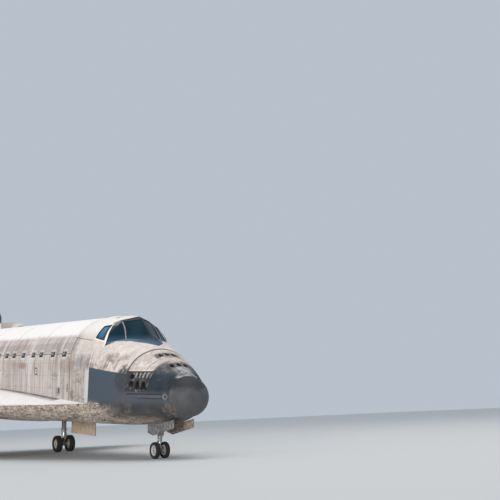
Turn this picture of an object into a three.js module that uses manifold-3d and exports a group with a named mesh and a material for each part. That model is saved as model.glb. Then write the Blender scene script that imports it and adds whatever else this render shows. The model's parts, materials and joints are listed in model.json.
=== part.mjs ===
// A winged space orbiter standing on its landing gear, in millimetres, +Z up.
// The nose points to -Y and the left side is +X. The airframe is drawn level, in inches
// from its own datum, and then stands nose down on its gear.
import * as THREE from 'three';
import { mergeVertices } from 'three/addons/utils/BufferGeometryUtils.js';
import Module from 'manifold-3d';

const wasm = await Module();
wasm.setup();

// Datum: stations run aft along the body, waterlines run up, and buttlines run out from the centre.
const INCH = 25.4;
const MAIN_GEAR_STATION = 1165;
const GROUND_WATERLINE = 159.85;
const PITCH = THREE.MathUtils.degToRad(3.91);
const ORIGIN_STATION = 941;
const ORIGIN_TRIM = 21.1;
const GAP = 0.3;
const RUNNING_GAP = 8;

// Driving sizes, in inches.
const NOSE_APEX_STATION = 235;
const NOSE_APEX_WATERLINE = 333;
const CAP_BASE = 272;
const CAP_MIDDLE = 338;
const NOSE_BREAK = 397;
const FORWARD_END = 582;
const MID_END = 1307;
const BODY_END = 1518;
const BAY_AFT_WALL = 1299;
const BAY_RADIUS = 92;
const BAY_CENTRE = 400;
const SILL_TOP = 414;
const DOOR_HINGE = 420;
const DOOR_HINGE_HALF = 102.6;
const DOOR_LOW_EDGE = 421.5;
const DOOR_CENTRE = 395;
const DOOR_RADIUS = 105;
const DOOR_THICKNESS = 4.5;
const CABIN_WALL = 4;
const CABIN_FRONT = 401;
const CABIN_BACK = 570;
const MIDDECK_FLOOR = 335;
const FLIGHT_DECK = 415;
const ELEVON_HINGE = 1387;
const WING_ROOT = 105;
const WING_TIP = 468;
const FIN_ROOT = 500;
const FIN_TIP = 815.7;
const RUDDER_LOW = 536;
const FLAP_HINGE = 1532;
const FLAP_HINGE_WATERLINE = 287;
const NOSE_GEAR_STATION = 378;
const NOSE_TYRE_RADIUS = 16;
const MAIN_TYRE_RADIUS = 22.25;
const MAIN_GEAR_HALF = 136;

const st = (station) => (station - MAIN_GEAR_STATION) * INCH;
const wl = (waterline) => (waterline - GROUND_WATERLINE) * INCH;

// Finishes
const finish = (color, roughness, metalness = 0) =>
  new THREE.MeshStandardMaterial({ color, roughness, metalness });
const WHITE_BLANKET = finish(0xd8d2c8, 0.9);
const BELLY_TILE = finish(0x4a4844, 0.8);
const CARBON = finish(0x6e6e6c, 0.6);
const GLASS = finish(0x20343c, 0.1);
const CABIN_GREY = finish(0x8a8d8c, 0.7);
const RADIATOR_SILVER = finish(0xb8bcc0, 0.25, 0.7);
const ENGINE_METAL = finish(0x8d8478, 0.45, 0.8);
const GEAR_METAL = finish(0xa9abab, 0.45, 0.6);
const RIM_GREY = finish(0xb9bab8, 0.5, 0.3);
const TYRE_RUBBER = finish(0x1d1d1e, 0.9);

// Solids: closed meshes go in, and joined or cut ones come back as geometry.
function signedVolume(positions, index) {
  const a = new THREE.Vector3();
  const b = new THREE.Vector3();
  const c = new THREE.Vector3();
  let total = 0;
  for (let i = 0; i < index.length; i += 3) {
    a.fromArray(positions, index[i] * 3);
    b.fromArray(positions, index[i + 1] * 3);
    c.fromArray(positions, index[i + 2] * 3);
    total += a.dot(b.cross(c));
  }
  return total;
}

function toSolid(geometry) {
  const bare = geometry.clone();
  bare.deleteAttribute('normal');
  bare.deleteAttribute('uv');
  const merged = mergeVertices(bare, 0.01);
  const vertProperties = Float32Array.from(merged.attributes.position.array);
  const triVerts = Uint32Array.from(merged.index.array);
  if (signedVolume(vertProperties, triVerts) < 0) {
    for (let i = 0; i < triVerts.length; i += 3) {
      [triVerts[i], triVerts[i + 1]] = [triVerts[i + 1], triVerts[i]];
    }
  }
  return new wasm.Manifold(new wasm.Mesh({ numProp: 3, vertProperties, triVerts }));
}

function toGeometry(solid) {
  const mesh = solid.getMesh();
  const geometry = new THREE.BufferGeometry();
  geometry.setAttribute('position', new THREE.BufferAttribute(Float32Array.from(mesh.vertProperties), 3));
  geometry.setIndex(Array.from(mesh.triVerts));
  return geometry;
}

const join = (...solids) => solids.reduce((sum, solid) => sum.add(solid));
const cut = (solid, ...cutters) => cutters.reduce((left, cutter) => left.subtract(cutter), solid);
const mirror = (solid) => toSolid(toGeometry(solid).scale(-1, 1, 1));

function box([x0, x1], [y0, y1], [z0, z1]) {
  const geometry = new THREE.BoxGeometry(x1 - x0, y1 - y0, z1 - z0);
  return toSolid(geometry.translate((x0 + x1) / 2, (y0 + y1) / 2, (z0 + z1) / 2));
}

// An outline extruded along x, y or z: its points are [y, z], [x, z] or [x, y].
const PRISM_BASIS = {
  x: new THREE.Matrix4().set(0, 0, 1, 0, 1, 0, 0, 0, 0, 1, 0, 0, 0, 0, 0, 1),
  y: new THREE.Matrix4().set(1, 0, 0, 0, 0, 0, 1, 0, 0, 1, 0, 0, 0, 0, 0, 1),
  z: new THREE.Matrix4(),
};

function prism(axis, points, low, high) {
  const shape = new THREE.Shape(points.map(([u, v]) => new THREE.Vector2(u, v)));
  const geometry = new THREE.ExtrudeGeometry(shape, { depth: high - low, bevelEnabled: false });
  geometry.translate(0, 0, low);
  return toSolid(geometry.applyMatrix4(PRISM_BASIS[axis]));
}

// A round bar, or a cone, from one point to another.
function rod(from, to, radius, segments = 16, endRadius = radius) {
  const start = new THREE.Vector3(...from);
  const along = new THREE.Vector3(...to).sub(start);
  const geometry = new THREE.CylinderGeometry(endRadius, radius, along.length(), segments);
  geometry.translate(0, along.length() / 2, 0);
  const turn = new THREE.Quaternion().setFromUnitVectors(new THREE.Vector3(0, 1, 0), along.normalize());
  geometry.applyQuaternion(turn);
  return toSolid(geometry.translate(...from));
}

const distance = (p, q) => Math.hypot(p[0] - q[0], p[1] - q[1], p[2] - q[2]);

// A solid through rings of points, with flat ends; plane picks the two axes that its ends lie in.
function loft(rings, plane) {
  const count = rings[0].length;
  const points = rings.flat();
  const triangles = [];
  for (let r = 0; r + 1 < rings.length; r += 1) {
    for (let i = 0; i < count; i += 1) {
      const next = (i + 1) % count;
      const [a, b] = [r * count + i, r * count + next];
      const [c, d] = [a + count, b + count];
      const shorter = distance(points[a], points[d]) < distance(points[b], points[c]);
      triangles.push(...(shorter ? [a, b, d, a, d, c] : [a, b, c, b, d, c]));
    }
  }
  [0, rings.length - 1].forEach((r) => {
    const flat = rings[r].map((point) => new THREE.Vector2(point[plane[0]], point[plane[1]]));
    const turned = THREE.ShapeUtils.isClockWise(flat);
    const faces = THREE.ShapeUtils.triangulateShape(turned ? flat.slice().reverse() : flat, []);
    const place = (i) => r * count + (turned ? count - 1 - i : i);
    const outward = (r === 0) !== turned;
    faces.forEach(([a, b, c]) => {
      triangles.push(place(a), ...(outward ? [place(c), place(b)] : [place(b), place(c)]));
    });
  });
  const geometry = new THREE.BufferGeometry();
  geometry.setAttribute('position', new THREE.Float32BufferAttribute(points.flat(), 3));
  geometry.setIndex(triangles);
  return toSolid(geometry);
}

const airframe = new THREE.Group();

function piece(name, solid, material, parent = airframe) {
  const mesh = new THREE.Mesh(toGeometry(solid), material);
  mesh.name = name;
  parent.add(mesh);
}

function pair(name, leftSolid, material) {
  piece(`${name}_left`, leftSolid, material);
  piece(`${name}_right`, mirror(leftSolid), material);
}

// Fuselage: each row gives the section at a station. The belly is flat out to a round corner, the
// side stands up to the shoulder, and the crown is an elliptical arc. Over the cabin's windows a
// peaked hump stands out of that arc; its power is 2 where it is round and 1 where it is straight.
const FUSELAGE = [
  // station, halfWidth, bottom, cornerWidth, cornerHeight, shoulder, top, humpTop, humpPower
  [272, 41, 299, 41, 39, 338, 375, 375, 2],
  [285, 46.5, 295, 44, 40, 341, 384.5, 384.5, 2],
  [300, 52, 291.5, 45, 41, 345, 393, 393, 2],
  [325, 62, 287, 46, 41, 349, 405, 405, 2],
  [350, 71.5, 283.5, 46, 41, 353, 415.5, 415.5, 2],
  [375, 80, 281, 46, 40, 357, 427, 427, 2],
  [395, 85.5, 279.8, 45.5, 39, 362, 436, 441, 1.5],
  [424, 92.5, 279, 43, 38, 369, 445, 467, 1.06],
  [450, 97.3, 278.7, 41, 37, 375, 455, 488, 1.12],
  [464, 99.3, 278.5, 40.5, 36.5, 378, 461, 495, 1.28],
  [481, 101.3, 278.2, 40, 36, 381, 469, 498.5, 1.5],
  [491, 102.2, 278, 39, 36, 384, 476, 499.5, 1.7],
  [510, 103.4, 277.7, 38, 36, 388, 485, 500, 1.92],
  [540, 104.4, 277, 38, 36, 392, 500, 500, 2],
  [582, 105, 276, 40, 36, 395, 500, 500, 2],
  [640, 105, 274.2, 44, 34, 395, 500, 500, 2],
  [700, 105, 272.4, 46, 30, 395, 500, 500, 2],
  [760, 105, 270.8, 44, 22, 395, 500, 500, 2],
  [820, 105, 269.3, 34, 14, 395, 500, 500, 2],
  [880, 105, 268, 18, 7, 395, 500, 500, 2],
  [940, 105, 267, 4, 4, 395, 500, 500, 2],
  [1307, 105, 267, 4, 4, 395, 500, 500, 2],
  [1420, 105, 270, 4, 4, 395, 500, 500, 2],
  [1530, 105, 276.5, 4, 4, 395, 500, 500, 2],
];
const CORNER_STEPS = 4;
const CROWN_STEPS = 9;

function fuselageSizes(station) {
  const last = FUSELAGE.length - 2;
  const found = FUSELAGE.findIndex((row, i) => i <= last && station <= FUSELAGE[i + 1][0]);
  const [before, after] = [FUSELAGE[found], FUSELAGE[found + 1]];
  const part = (station - before[0]) / (after[0] - before[0]);
  return before.map((value, column) => THREE.MathUtils.lerp(value, after[column], part));
}

// How far a rounded arc reaches from its centre, at an angle above the level.
function arcReach(angle, width, height, power) {
  return ((Math.cos(angle) / width) ** power + (Math.sin(angle) / height) ** power) ** (-1 / power);
}

// The section at a station, grown outwards by an amount in millimetres.
function fuselageRing(station, grow = 0) {
  const [, half, bottom, corner, cornerHeight, shoulder, top, humpTop, humpPower] = fuselageSizes(station);
  const halfWidth = half * INCH + grow;
  const low = wl(bottom) - grow;
  const cornerX = Math.max(corner * INCH + grow, 1);
  const cornerZ = Math.max(cornerHeight * INCH + grow, 1);
  const outline = [];
  for (let i = 0; i <= CORNER_STEPS; i += 1) {
    const angle = (Math.PI / 2) * (i / CORNER_STEPS);
    const x = Math.max(halfWidth - cornerX + cornerX * Math.sin(angle), 1);
    outline.push([x, low + cornerZ * (1 - Math.cos(angle))]);
  }
  const crown = (angle) => {
    const body = arcReach(angle, half, top - shoulder, 2);
    return Math.max(body, arcReach(angle, half, humpTop - shoulder, humpPower)) * INCH + grow;
  };
  for (let i = 0; i < CROWN_STEPS; i += 1) {
    const angle = (Math.PI / 2) * (i / CROWN_STEPS);
    outline.push([crown(angle) * Math.cos(angle), wl(shoulder) + crown(angle) * Math.sin(angle)]);
  }
  const left = outline.map(([x, z]) => [x, st(station), z]);
  const right = outline.map(([x, z]) => [-x, st(station), z]).reverse();
  return [...left, [0, st(station), wl(shoulder) + crown(Math.PI / 2)], ...right];
}

function fuselageBody(from, to, grow = 0) {
  const inner = FUSELAGE.map((row) => row[0]).filter((station) => station > from + 1 && station < to - 1);
  return loft([from, ...inner, to].map((station) => fuselageRing(station, grow)), [0, 2]);
}

const grownBody = fuselageBody(CAP_BASE, 1529, GAP);

// Nose cap: the section at its base, drawn in to the apex along a quarter ellipse.
function noseCap() {
  const base = fuselageRing(CAP_BASE);
  const middle = wl(CAP_MIDDLE);
  const depth = (CAP_BASE - NOSE_APEX_STATION) * INCH;
  const steps = 7;
  const rings = [];
  for (let i = 0; i < steps; i += 1) {
    const angle = (Math.PI / 2) * (i / steps);
    const scale = Math.cos(angle);
    const drop = (wl(NOSE_APEX_WATERLINE) - middle) * Math.sin(angle);
    const y = st(CAP_BASE) - GAP - depth * Math.sin(angle);
    rings.push(base.map(([x, , z]) => [x * scale, y, middle + drop + (z - middle) * scale]));
  }
  const tip = base.map(([x, , z]) => [x * 0.02, st(NOSE_APEX_STATION), wl(NOSE_APEX_WATERLINE) + (z - middle) * 0.02]);
  return loft([...rings, tip], [0, 2]);
}
piece('nose_cap', noseCap(), CARBON);

// Nose fuselage: behind the cap, with the nose wheel well below and the thruster bay above.
const THRUSTER_FRONT = 288;
const THRUSTER_BACK = 375;
const THRUSTER_FLOOR = 350;
const NOSE_WELL = { front: 285, back: 390, half: 20, roof: 326 };

function thrusterBay(grow) {
  return box(
    [-110 * INCH, 110 * INCH],
    [st(THRUSTER_FRONT) - grow, st(THRUSTER_BACK) + grow],
    [wl(THRUSTER_FLOOR) - grow, wl(520)],
  );
}

function noseFuselage() {
  const well = box(
    [-NOSE_WELL.half * INCH, NOSE_WELL.half * INCH],
    [st(NOSE_WELL.front), st(NOSE_WELL.back)],
    [wl(250), wl(NOSE_WELL.roof)],
  );
  return cut(fuselageBody(CAP_BASE, NOSE_BREAK - GAP / INCH), well, thrusterBay(GAP));
}
piece('nose_fuselage', noseFuselage(), WHITE_BLANKET);
piece('forward_thruster_module', fuselageBody(CAP_BASE, FORWARD_END).intersect(thrusterBay(0)), WHITE_BLANKET);

// Forward fuselage: hollow cabin, window openings and hatch opening.
const HATCH = { station: 462, waterline: 385, radius: 20, hingeHalf: 100.2, hingeWaterline: 364 };

// Window openings seen from ahead, as [buttline, waterline] corners for the left side.
const FRONT_PANES = [
  [[2, 450], [38.5, 449.5], [30, 486], [2, 490]],
  [[41.5, 449], [71, 443], [51.5, 476], [33.5, 485]],
];
// The side pane seen from the left, as [station, waterline] corners.
const SIDE_PANE = [[487, 449.5], [504, 454], [507, 475], [495, 477]];
// The overhead pane seen from above, as [buttline, station] corners.
const OVERHEAD_PANE = [[8, 505], [30, 505], [30, 527], [8, 527]];
// The rear pane in the cabin's back wall, as [buttline, waterline] corners.
const REAR_PANE = [[10, 456], [26, 456], [26, 470], [10, 470]];

function bothSides(solid) {
  return solid.add(mirror(solid));
}

const windowCutters = [
  ...FRONT_PANES.map((pane) => prism('y', pane.map(([b, w]) => [b * INCH, wl(w)]), st(400), st(484))),
  prism('x', SIDE_PANE.map(([s, w]) => [st(s), wl(w)]), 40 * INCH, 110 * INCH),
  prism('z', OVERHEAD_PANE.map(([b, s]) => [b * INCH, st(s)]), wl(470), wl(510)),
];

function cabinHollow(inset) {
  const room = fuselageBody(CABIN_FRONT, CABIN_BACK, -CABIN_WALL * INCH - inset);
  const aboveFloor = box([-120 * INCH, 120 * INCH], [st(CABIN_FRONT - 1), st(580)], [wl(MIDDECK_FLOOR), wl(520)]);
  return room.intersect(aboveFloor);
}

const HATCH_KNUCKLES = [-9, 9];
function hatchBar(middle, half, radius) {
  const place = (offset) => [HATCH.hingeHalf * INCH, st(HATCH.station + middle + offset), wl(HATCH.hingeWaterline)];
  return rod(place(-half), place(half), radius * INCH, 10);
}

// The body's hinge block lies between the hatch's two knuckles.
function hatchHingeBlock() {
  const half = HATCH_KNUCKLES[1] - 2.5 - GAP / INCH;
  const pad = box([95 * INCH, HATCH.hingeHalf * INCH], [st(HATCH.station - half), st(HATCH.station + half)],
    [wl(361.5), wl(363.8)]);
  return join(hatchBar(0, half, 1), pad);
}

function forwardFuselage() {
  const shell = fuselageBody(NOSE_BREAK, FORWARD_END - GAP / INCH);
  const hatchHole = rod(
    [50 * INCH, st(HATCH.station), wl(HATCH.waterline)],
    [120 * INCH, st(HATCH.station), wl(HATCH.waterline)],
    HATCH.radius * INCH + RUNNING_GAP,
    28,
  );
  const knuckleRoom = box([96.2 * INCH, 110 * INCH], [st(HATCH.station - 13), st(HATCH.station + 13)], [wl(362), wl(369)]);
  const rearWindow = prism('y', REAR_PANE.map(([b, w]) => [b * INCH, wl(w)]), st(560), st(590));
  const hollowed = cut(
    shell,
    cabinHollow(0),
    hatchHole,
    knuckleRoom,
    bothSides(rearWindow),
    ...windowCutters.map(bothSides),
  );
  return join(hollowed, hatchHingeBlock());
}
piece('forward_fuselage', forwardFuselage(), WHITE_BLANKET);

// Cabin glass: one curved strip just inside the wall, behind every window opening.
const GLASS_THICKNESS = 1;
function cabinGlass() {
  const strip = cabinHollow(GAP).subtract(cabinHollow(GAP + GLASS_THICKNESS * INCH));
  const band = join(
    box([-92 * INCH, 92 * INCH], [st(402), st(511)], [wl(440), wl(500)]),
    box([-36 * INCH, 36 * INCH], [st(510), st(532)], [wl(480), wl(500)]),
  );
  return strip.intersect(band);
}
piece('cabin_glass', cabinGlass(), GLASS);

// Rear cabin glass: two panes joined by a bar, against the cabin side of the back wall.
const rearGlass = box([-28 * INCH, 28 * INCH], [st(CABIN_BACK - 1) - GAP, st(CABIN_BACK) - GAP], [wl(454), wl(472)]);
piece('rear_cabin_glass', rearGlass, GLASS);

// Flight deck: floor, instrument panel, centre console and two seats on it.
function flightDeck() {
  const floor = cabinHollow(GAP).intersect(
    box([-120 * INCH, 120 * INCH], [st(CABIN_FRONT) + GAP, st(CABIN_BACK) - GAP], [wl(FLIGHT_DECK - 4), wl(FLIGHT_DECK)]),
  );
  const hatchway = box([34 * INCH, 62 * INCH], [st(520), st(548)], [wl(400), wl(420)]);
  const panel = box([-46 * INCH, 46 * INCH], [st(440), st(448)], [wl(FLIGHT_DECK - 1), wl(438)]);
  const console = box([-9 * INCH, 9 * INCH], [st(447), st(484)], [wl(FLIGHT_DECK - 1), wl(425)]);
  const seat = join(
    box([16 * INCH, 36 * INCH], [st(472), st(492)], [wl(FLIGHT_DECK - 1), wl(431)]),
    box([16 * INCH, 36 * INCH], [st(489), st(495)], [wl(430), wl(462)]),
    box([20 * INCH, 32 * INCH], [st(489), st(494)], [wl(461), wl(470)]),
  );
  const fittings = join(panel, console, bothSides(seat)).intersect(cabinHollow(GAP + 2 * INCH));
  return join(floor.subtract(hatchway), fittings);
}
piece('flight_deck', flightDeck(), CABIN_GREY);

// Side hatch: a round plug of the left side wall, with two hinge knuckles along its lower edge.
function sideHatch() {
  const wall = fuselageBody(430, 500).subtract(fuselageBody(429, 501, -CABIN_WALL * INCH));
  const plug = rod(
    [50 * INCH, st(HATCH.station), wl(HATCH.waterline)],
    [120 * INCH, st(HATCH.station), wl(HATCH.waterline)],
    HATCH.radius * INCH,
    28,
  );
  const knuckles = HATCH_KNUCKLES.map((middle) => join(
    hatchBar(middle, 2.5, 1),
    box([96.6 * INCH, HATCH.hingeHalf * INCH], [st(HATCH.station + middle - 2.5), st(HATCH.station + middle + 2.5)],
      [wl(364), wl(368.5)]),
  ));
  return join(wall.intersect(plug), ...knuckles);
}
piece('side_hatch', sideHatch(), WHITE_BLANKET);

// Mid fuselage: an open trough with flat sides, a round floor, a ledge along each sill and an aft wall.
const HINGE_STATIONS = [617, 680, 748, 795, 858, 920, 970, 1028, 1085, 1140, 1190, 1238, 1280];
const HINGE_POCKET = { length: 6, low: 415, inner: 98.5 };
const BAY_STEPS = 12;

function bayOutline(radius, ledge) {
  const points = [];
  for (let i = 0; i <= BAY_STEPS; i += 1) {
    const angle = Math.PI + (Math.PI * i) / BAY_STEPS;
    points.push([radius * INCH * Math.cos(angle), wl(BAY_CENTRE + radius * Math.sin(angle))]);
  }
  const sides = [[radius, SILL_TOP], [ledge, SILL_TOP], [ledge, 425]];
  points.push(...sides.map(([b, w]) => [b * INCH, wl(w)]));
  points.push(...sides.reverse().map(([b, w]) => [-b * INCH, wl(w)]));
  return points;
}

function midFuselage() {
  const bay = prism('y', bayOutline(BAY_RADIUS, 98), st(FORWARD_END) - 10, st(BAY_AFT_WALL));
  const roof = box([-110 * INCH, 110 * INCH], [st(FORWARD_END) - 10, st(BAY_AFT_WALL)], [wl(DOOR_HINGE), wl(510)]);
  const pockets = HINGE_STATIONS.map((station) => box(
    [HINGE_POCKET.inner * INCH, 110 * INCH],
    [st(station - HINGE_POCKET.length / 2), st(station + HINGE_POCKET.length / 2)],
    [wl(HINGE_POCKET.low), wl(425)],
  ));
  const hull = cut(fuselageBody(FORWARD_END, MID_END - GAP / INCH), bay, roof);
  return cut(hull, ...pockets, ...pockets.map(mirror));
}
piece('mid_fuselage', midFuselage(), WHITE_BLANKET);

// Payload doors: curved panels over the bay, with a hinge knuckle in each pocket of the sill.
const DOOR_STEPS = 14;
const DOOR_FRONT = FORWARD_END + 0.4;
const DOOR_BACK = BAY_AFT_WALL - 0.4;
const KNUCKLE = [[-1.2, 0.2], [-0.8, -0.9], [0.4, -1.2], [1.2, -0.3], [1, 1], [-1, 3.5], [-4, 3.5]];

function arcBand(outer, inner, firstStep, lastStep, from, to) {
  const low = Math.asin((DOOR_LOW_EDGE - DOOR_CENTRE) / DOOR_RADIUS);
  const high = Math.acos(0.2 / DOOR_RADIUS);
  const point = (radius, i) => {
    const angle = low + (high - low) * (i / DOOR_STEPS);
    return [radius * INCH * Math.cos(angle), wl(DOOR_CENTRE) + radius * INCH * Math.sin(angle)];
  };
  const steps = Array.from({ length: lastStep - firstStep + 1 }, (_, i) => firstStep + i);
  const outline = [...steps.map((i) => point(outer, i)), ...steps.reverse().map((i) => point(inner, i))];
  return prism('y', outline, st(from), st(to));
}

function payloadDoor() {
  const panel = arcBand(DOOR_RADIUS, DOOR_RADIUS - DOOR_THICKNESS, 0, DOOR_STEPS, DOOR_FRONT, DOOR_BACK);
  const half = (HINGE_POCKET.length / 2) * INCH - GAP;
  const outline = KNUCKLE.map(([b, w]) => [(DOOR_HINGE_HALF + b) * INCH, wl(DOOR_HINGE + w)]);
  const knuckles = HINGE_STATIONS.map((station) => prism('y', outline, st(station) - half, st(station) + half));
  return join(panel, ...knuckles);
}
pair('payload_door', payloadDoor(), WHITE_BLANKET);

// Radiators: silver panels held against the inner face of each door.
const radiatorOuter = DOOR_RADIUS - DOOR_THICKNESS - GAP / INCH;
const radiator = arcBand(radiatorOuter, radiatorOuter - 2, 2, DOOR_STEPS - 1, 592, 1288);
pair('radiator', radiator, RADIATOR_SILVER);

// Aft fuselage: a shell that is open in front, with a round hole in its base for each engine.
const BASE_WALL = 6;
const ENGINES = {
  upper: { gimbal: [0, 1445, 443], cant: 16, yaw: 0, collar: [66, 78], rim: 33 },
  left: { gimbal: [53, 1468, 343], cant: 10, yaw: 3.5, collar: [43, 55], rim: 36 },
};
const POWERHEAD_RADIUS = 30;
const ENGINE_SIDES = 20;

function engineAxis({ cant, yaw }) {
  const up = THREE.MathUtils.degToRad(cant);
  const out = THREE.MathUtils.degToRad(yaw);
  return new THREE.Vector3(Math.sin(out) * Math.cos(up), Math.cos(out) * Math.cos(up), Math.sin(up));
}

function gimbalPoint({ gimbal: [buttline, station, waterline] }) {
  return new THREE.Vector3(buttline * INCH, st(station), wl(waterline));
}

function engineHole(engine) {
  const start = gimbalPoint(engine);
  const end = start.clone().addScaledVector(engineAxis(engine), 130 * INCH);
  return rod(start.toArray(), end.toArray(), engine.rim * INCH + 0.5, ENGINE_SIDES);
}

const flapHinge = { radius: 9, half: 120, lugs: [30, 88], lugHalf: 2.5, lugRadius: 6 };
const bothEnds = (half) => [-half, half];

function flapBar(from, to, radius, segments = 32) {
  const place = (buttline) => [buttline * INCH, st(FLAP_HINGE), wl(FLAP_HINGE_WATERLINE)];
  return rod(place(from), place(to), radius, segments);
}

// Hinge lugs stand out of the stub into slots in the flap's nose.
const flapLugs = flapHinge.lugs.flatMap(bothEnds).map((middle) => {
  const [low, high] = [middle - flapHinge.lugHalf, middle + flapHinge.lugHalf];
  const arm = box([low * INCH, high * INCH], [st(1512), st(FLAP_HINGE)], [wl(282), wl(292)]);
  return join(flapBar(low, high, flapHinge.lugRadius * INCH, 16), arm);
});
const flapSlots = flapHinge.lugs.flatMap(bothEnds).map((middle) => box(
  [(middle - flapHinge.lugHalf) * INCH - GAP, (middle + flapHinge.lugHalf) * INCH + GAP],
  [st(1500), st(FLAP_HINGE + flapHinge.lugRadius + 1)],
  [wl(260), wl(310)],
));

function aftFuselage() {
  const outer = fuselageBody(MID_END, BODY_END);
  const stub = prism('x', [[1500, 277], [1531, 277], [1531, 297], [1500, 304]].map(([s, w]) => [st(s), wl(w)]),
    -104 * INCH, 104 * INCH);
  const room = fuselageBody(MID_END - 1, BODY_END - BASE_WALL, -BASE_WALL * INCH);
  const hingeCut = flapBar(-130, 130, flapHinge.radius * INCH + RUNNING_GAP);
  const left = engineHole(ENGINES.left);
  const shell = cut(join(outer, stub), room, hingeCut, engineHole(ENGINES.upper), left, mirror(left));
  return join(shell, ...flapLugs);
}
piece('aft_fuselage', aftFuselage(), WHITE_BLANKET);

// Main engines: powerhead block, collar in the base and open bell, turned about the thrust line.
function engineSolid({ collar: [front, back], rim }) {
  const head = POWERHEAD_RADIUS;
  const outer = [[0, 4], [head, 8], [head, front]];
  const flange = [[rim, front], [rim, back]];
  const bell = [[22, back + 2], [30, back + 20], [38.5, 118], [44.5, 145], [47.5, 168]];
  const inside = [[45.5, 168], [42.5, 145], [36.5, 118], [28, back + 20], [18, back + 4], [0, back]];
  const profile = [...outer, ...flange, ...bell, ...inside];
  return new THREE.LatheGeometry(profile.map(([r, d]) => new THREE.Vector2(r * INCH, d * INCH)), ENGINE_SIDES);
}

function engine(name, values, side = 1) {
  const mesh = new THREE.Mesh(toGeometry(toSolid(engineSolid(values))), ENGINE_METAL);
  const place = gimbalPoint(values);
  const axis = engineAxis(values);
  mesh.name = name;
  mesh.position.set(place.x * side, place.y, place.z);
  axis.x *= side;
  mesh.quaternion.setFromUnitVectors(new THREE.Vector3(0, 1, 0), axis);
  airframe.add(mesh);
}
engine('main_engine_upper', ENGINES.upper);
engine('main_engine_left', ENGINES.left);
engine('main_engine_right', ENGINES.left, -1);

// Body flap: a wedge with a round nose on its hinge line, slotted for the hinge lugs.
function bodyFlap() {
  const nose = flapBar(-flapHinge.half, flapHinge.half, flapHinge.radius * INCH);
  const wedge = prism(
    'x',
    [[1532, 278], [1613, 284], [1613, 287], [1532, 296]].map(([s, w]) => [st(s), wl(w)]),
    -flapHinge.half * INCH,
    flapHinge.half * INCH,
  );
  return cut(join(nose, wedge), ...flapSlots);
}
piece('body_flap', bodyFlap(), BELLY_TILE);

// Wing: sections along the span, then elevon bays, leading edge, wheel well and body cut from it.
const WING = [
  // buttline, leadStation, leadWaterline, noseDepth, crestStation, crestWaterline, tailStation
  [60, 450, 321.5, 500, 1130, 342.5, 1514.6],
  [98, 450, 321.5, 500, 1130, 342.5, 1508],
  [105, 502, 318.7, 450, 1130, 342, 1506.6],
  [118, 599, 314.5, 390, 1135, 339, 1504.3],
  [131, 696, 310, 330, 1140, 336, 1502],
  [156, 854, 303.5, 240, 1150, 331, 1497.6],
  [182, 1018, 293, 120, 1165, 325.5, 1493],
  [247, 1083, 290.5, 46, 1205, 319, 1481.4],
  [312, 1148, 291.5, 36, 1245, 313, 1469.9],
  [390, 1226, 293, 28, 1300, 307, 1456],
  [468, 1304, 295, 20, 1345, 302, 1442.2],
];
const CHORD_STEPS = [0, 0.004, 0.015, 0.04, 0.08, 0.14, 0.22, 0.32, 0.44, 0.58, 0.72, 0.86, 1];
const HINGE_MID = [281, 294.35];
const HINGE_HALF_DEPTH = [14, 5.15];
const TAIL_DEPTH = 2;
// Inboard of here the leading edge is a sharp chine, and outboard it is round.
const SHARP_EDGE_END = 156;

function spanPart(buttline) {
  return Math.max(buttline - WING_ROOT, 0) / (WING_TIP - WING_ROOT);
}
const spanValue = ([root, tip], buttline) => root + (tip - root) * spanPart(buttline);

function wingRing([buttline, lead, leadWaterline, noseDepth, crest, crestWaterline, tail]) {
  const mid = spanValue(HINGE_MID, buttline);
  const half = spanValue(HINGE_HALF_DEPTH, buttline);
  const bottom = mid - half;
  const chord = ELEVON_HINGE - lead;
  const sharp = buttline <= SHARP_EDGE_END;
  const upper = (station) => {
    if (station <= crest) {
      const along = (station - lead) / (crest - lead);
      const rise = sharp ? 1.3 * along - 0.3 * along ** 4.33 : Math.sqrt(1 - (1 - along) ** 2);
      return leadWaterline + (crestWaterline - leadWaterline) * rise;
    }
    const part = (station - crest) / (ELEVON_HINGE - crest);
    return crestWaterline + (mid + half - crestWaterline) * part * part;
  };
  const lower = (station) => {
    const back = Math.max(1 - (station - lead) / noseDepth, 0);
    return bottom + (leadWaterline - bottom) * (1 - Math.sqrt(1 - back * back));
  };
  const stations = CHORD_STEPS.map((step) => lead + chord * step);
  const top = stations.map((station) => [station, upper(station)]);
  const under = stations.slice(1).map((station) => [station, lower(station)]).reverse();
  const tailEnd = [[tail, bottom + TAIL_DEPTH + 1], [tail, bottom + 1]];
  return [...top, ...tailEnd, ...under].map(([s, w]) => [buttline * INCH, st(s), wl(w)]);
}

const wholeWing = loft(WING.map(wingRing), [1, 2]);

// The hinge line's own frame: x runs out along it, y aft and z up.
const hingeRoot = new THREE.Vector3(WING_ROOT * INCH, st(ELEVON_HINGE), wl(HINGE_MID[0]));
const hingeTip = new THREE.Vector3(WING_TIP * INCH, st(ELEVON_HINGE), wl(HINGE_MID[1]));
const hingeLength = hingeTip.distanceTo(hingeRoot) / INCH;
const hingeAlong = hingeTip.clone().sub(hingeRoot).normalize();
const hingeFrame = new THREE.Matrix4().makeBasis(
  hingeAlong,
  new THREE.Vector3(0, 1, 0),
  hingeAlong.clone().cross(new THREE.Vector3(0, 1, 0)),
).setPosition(hingeRoot);

function onHinge(solid) {
  return toSolid(toGeometry(solid).applyMatrix4(hingeFrame));
}

// A round nose about the hinge line between two places along it, in inches from the root.
function hingeNose(from, to, grow) {
  const radius = (s) => (HINGE_HALF_DEPTH[0] + (HINGE_HALF_DEPTH[1] - HINGE_HALF_DEPTH[0]) * (s / hingeLength)) * INCH;
  return rod([from * INCH, 0, 0], [to * INCH, 0, 0], radius(from) + grow, 28, radius(to) + grow);
}

const ELEVONS = { inboard: [8, 205], outboard: [209, 358.5] };
const RIB_REACH = 6;
const ELEVON_GAP = 20;

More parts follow.
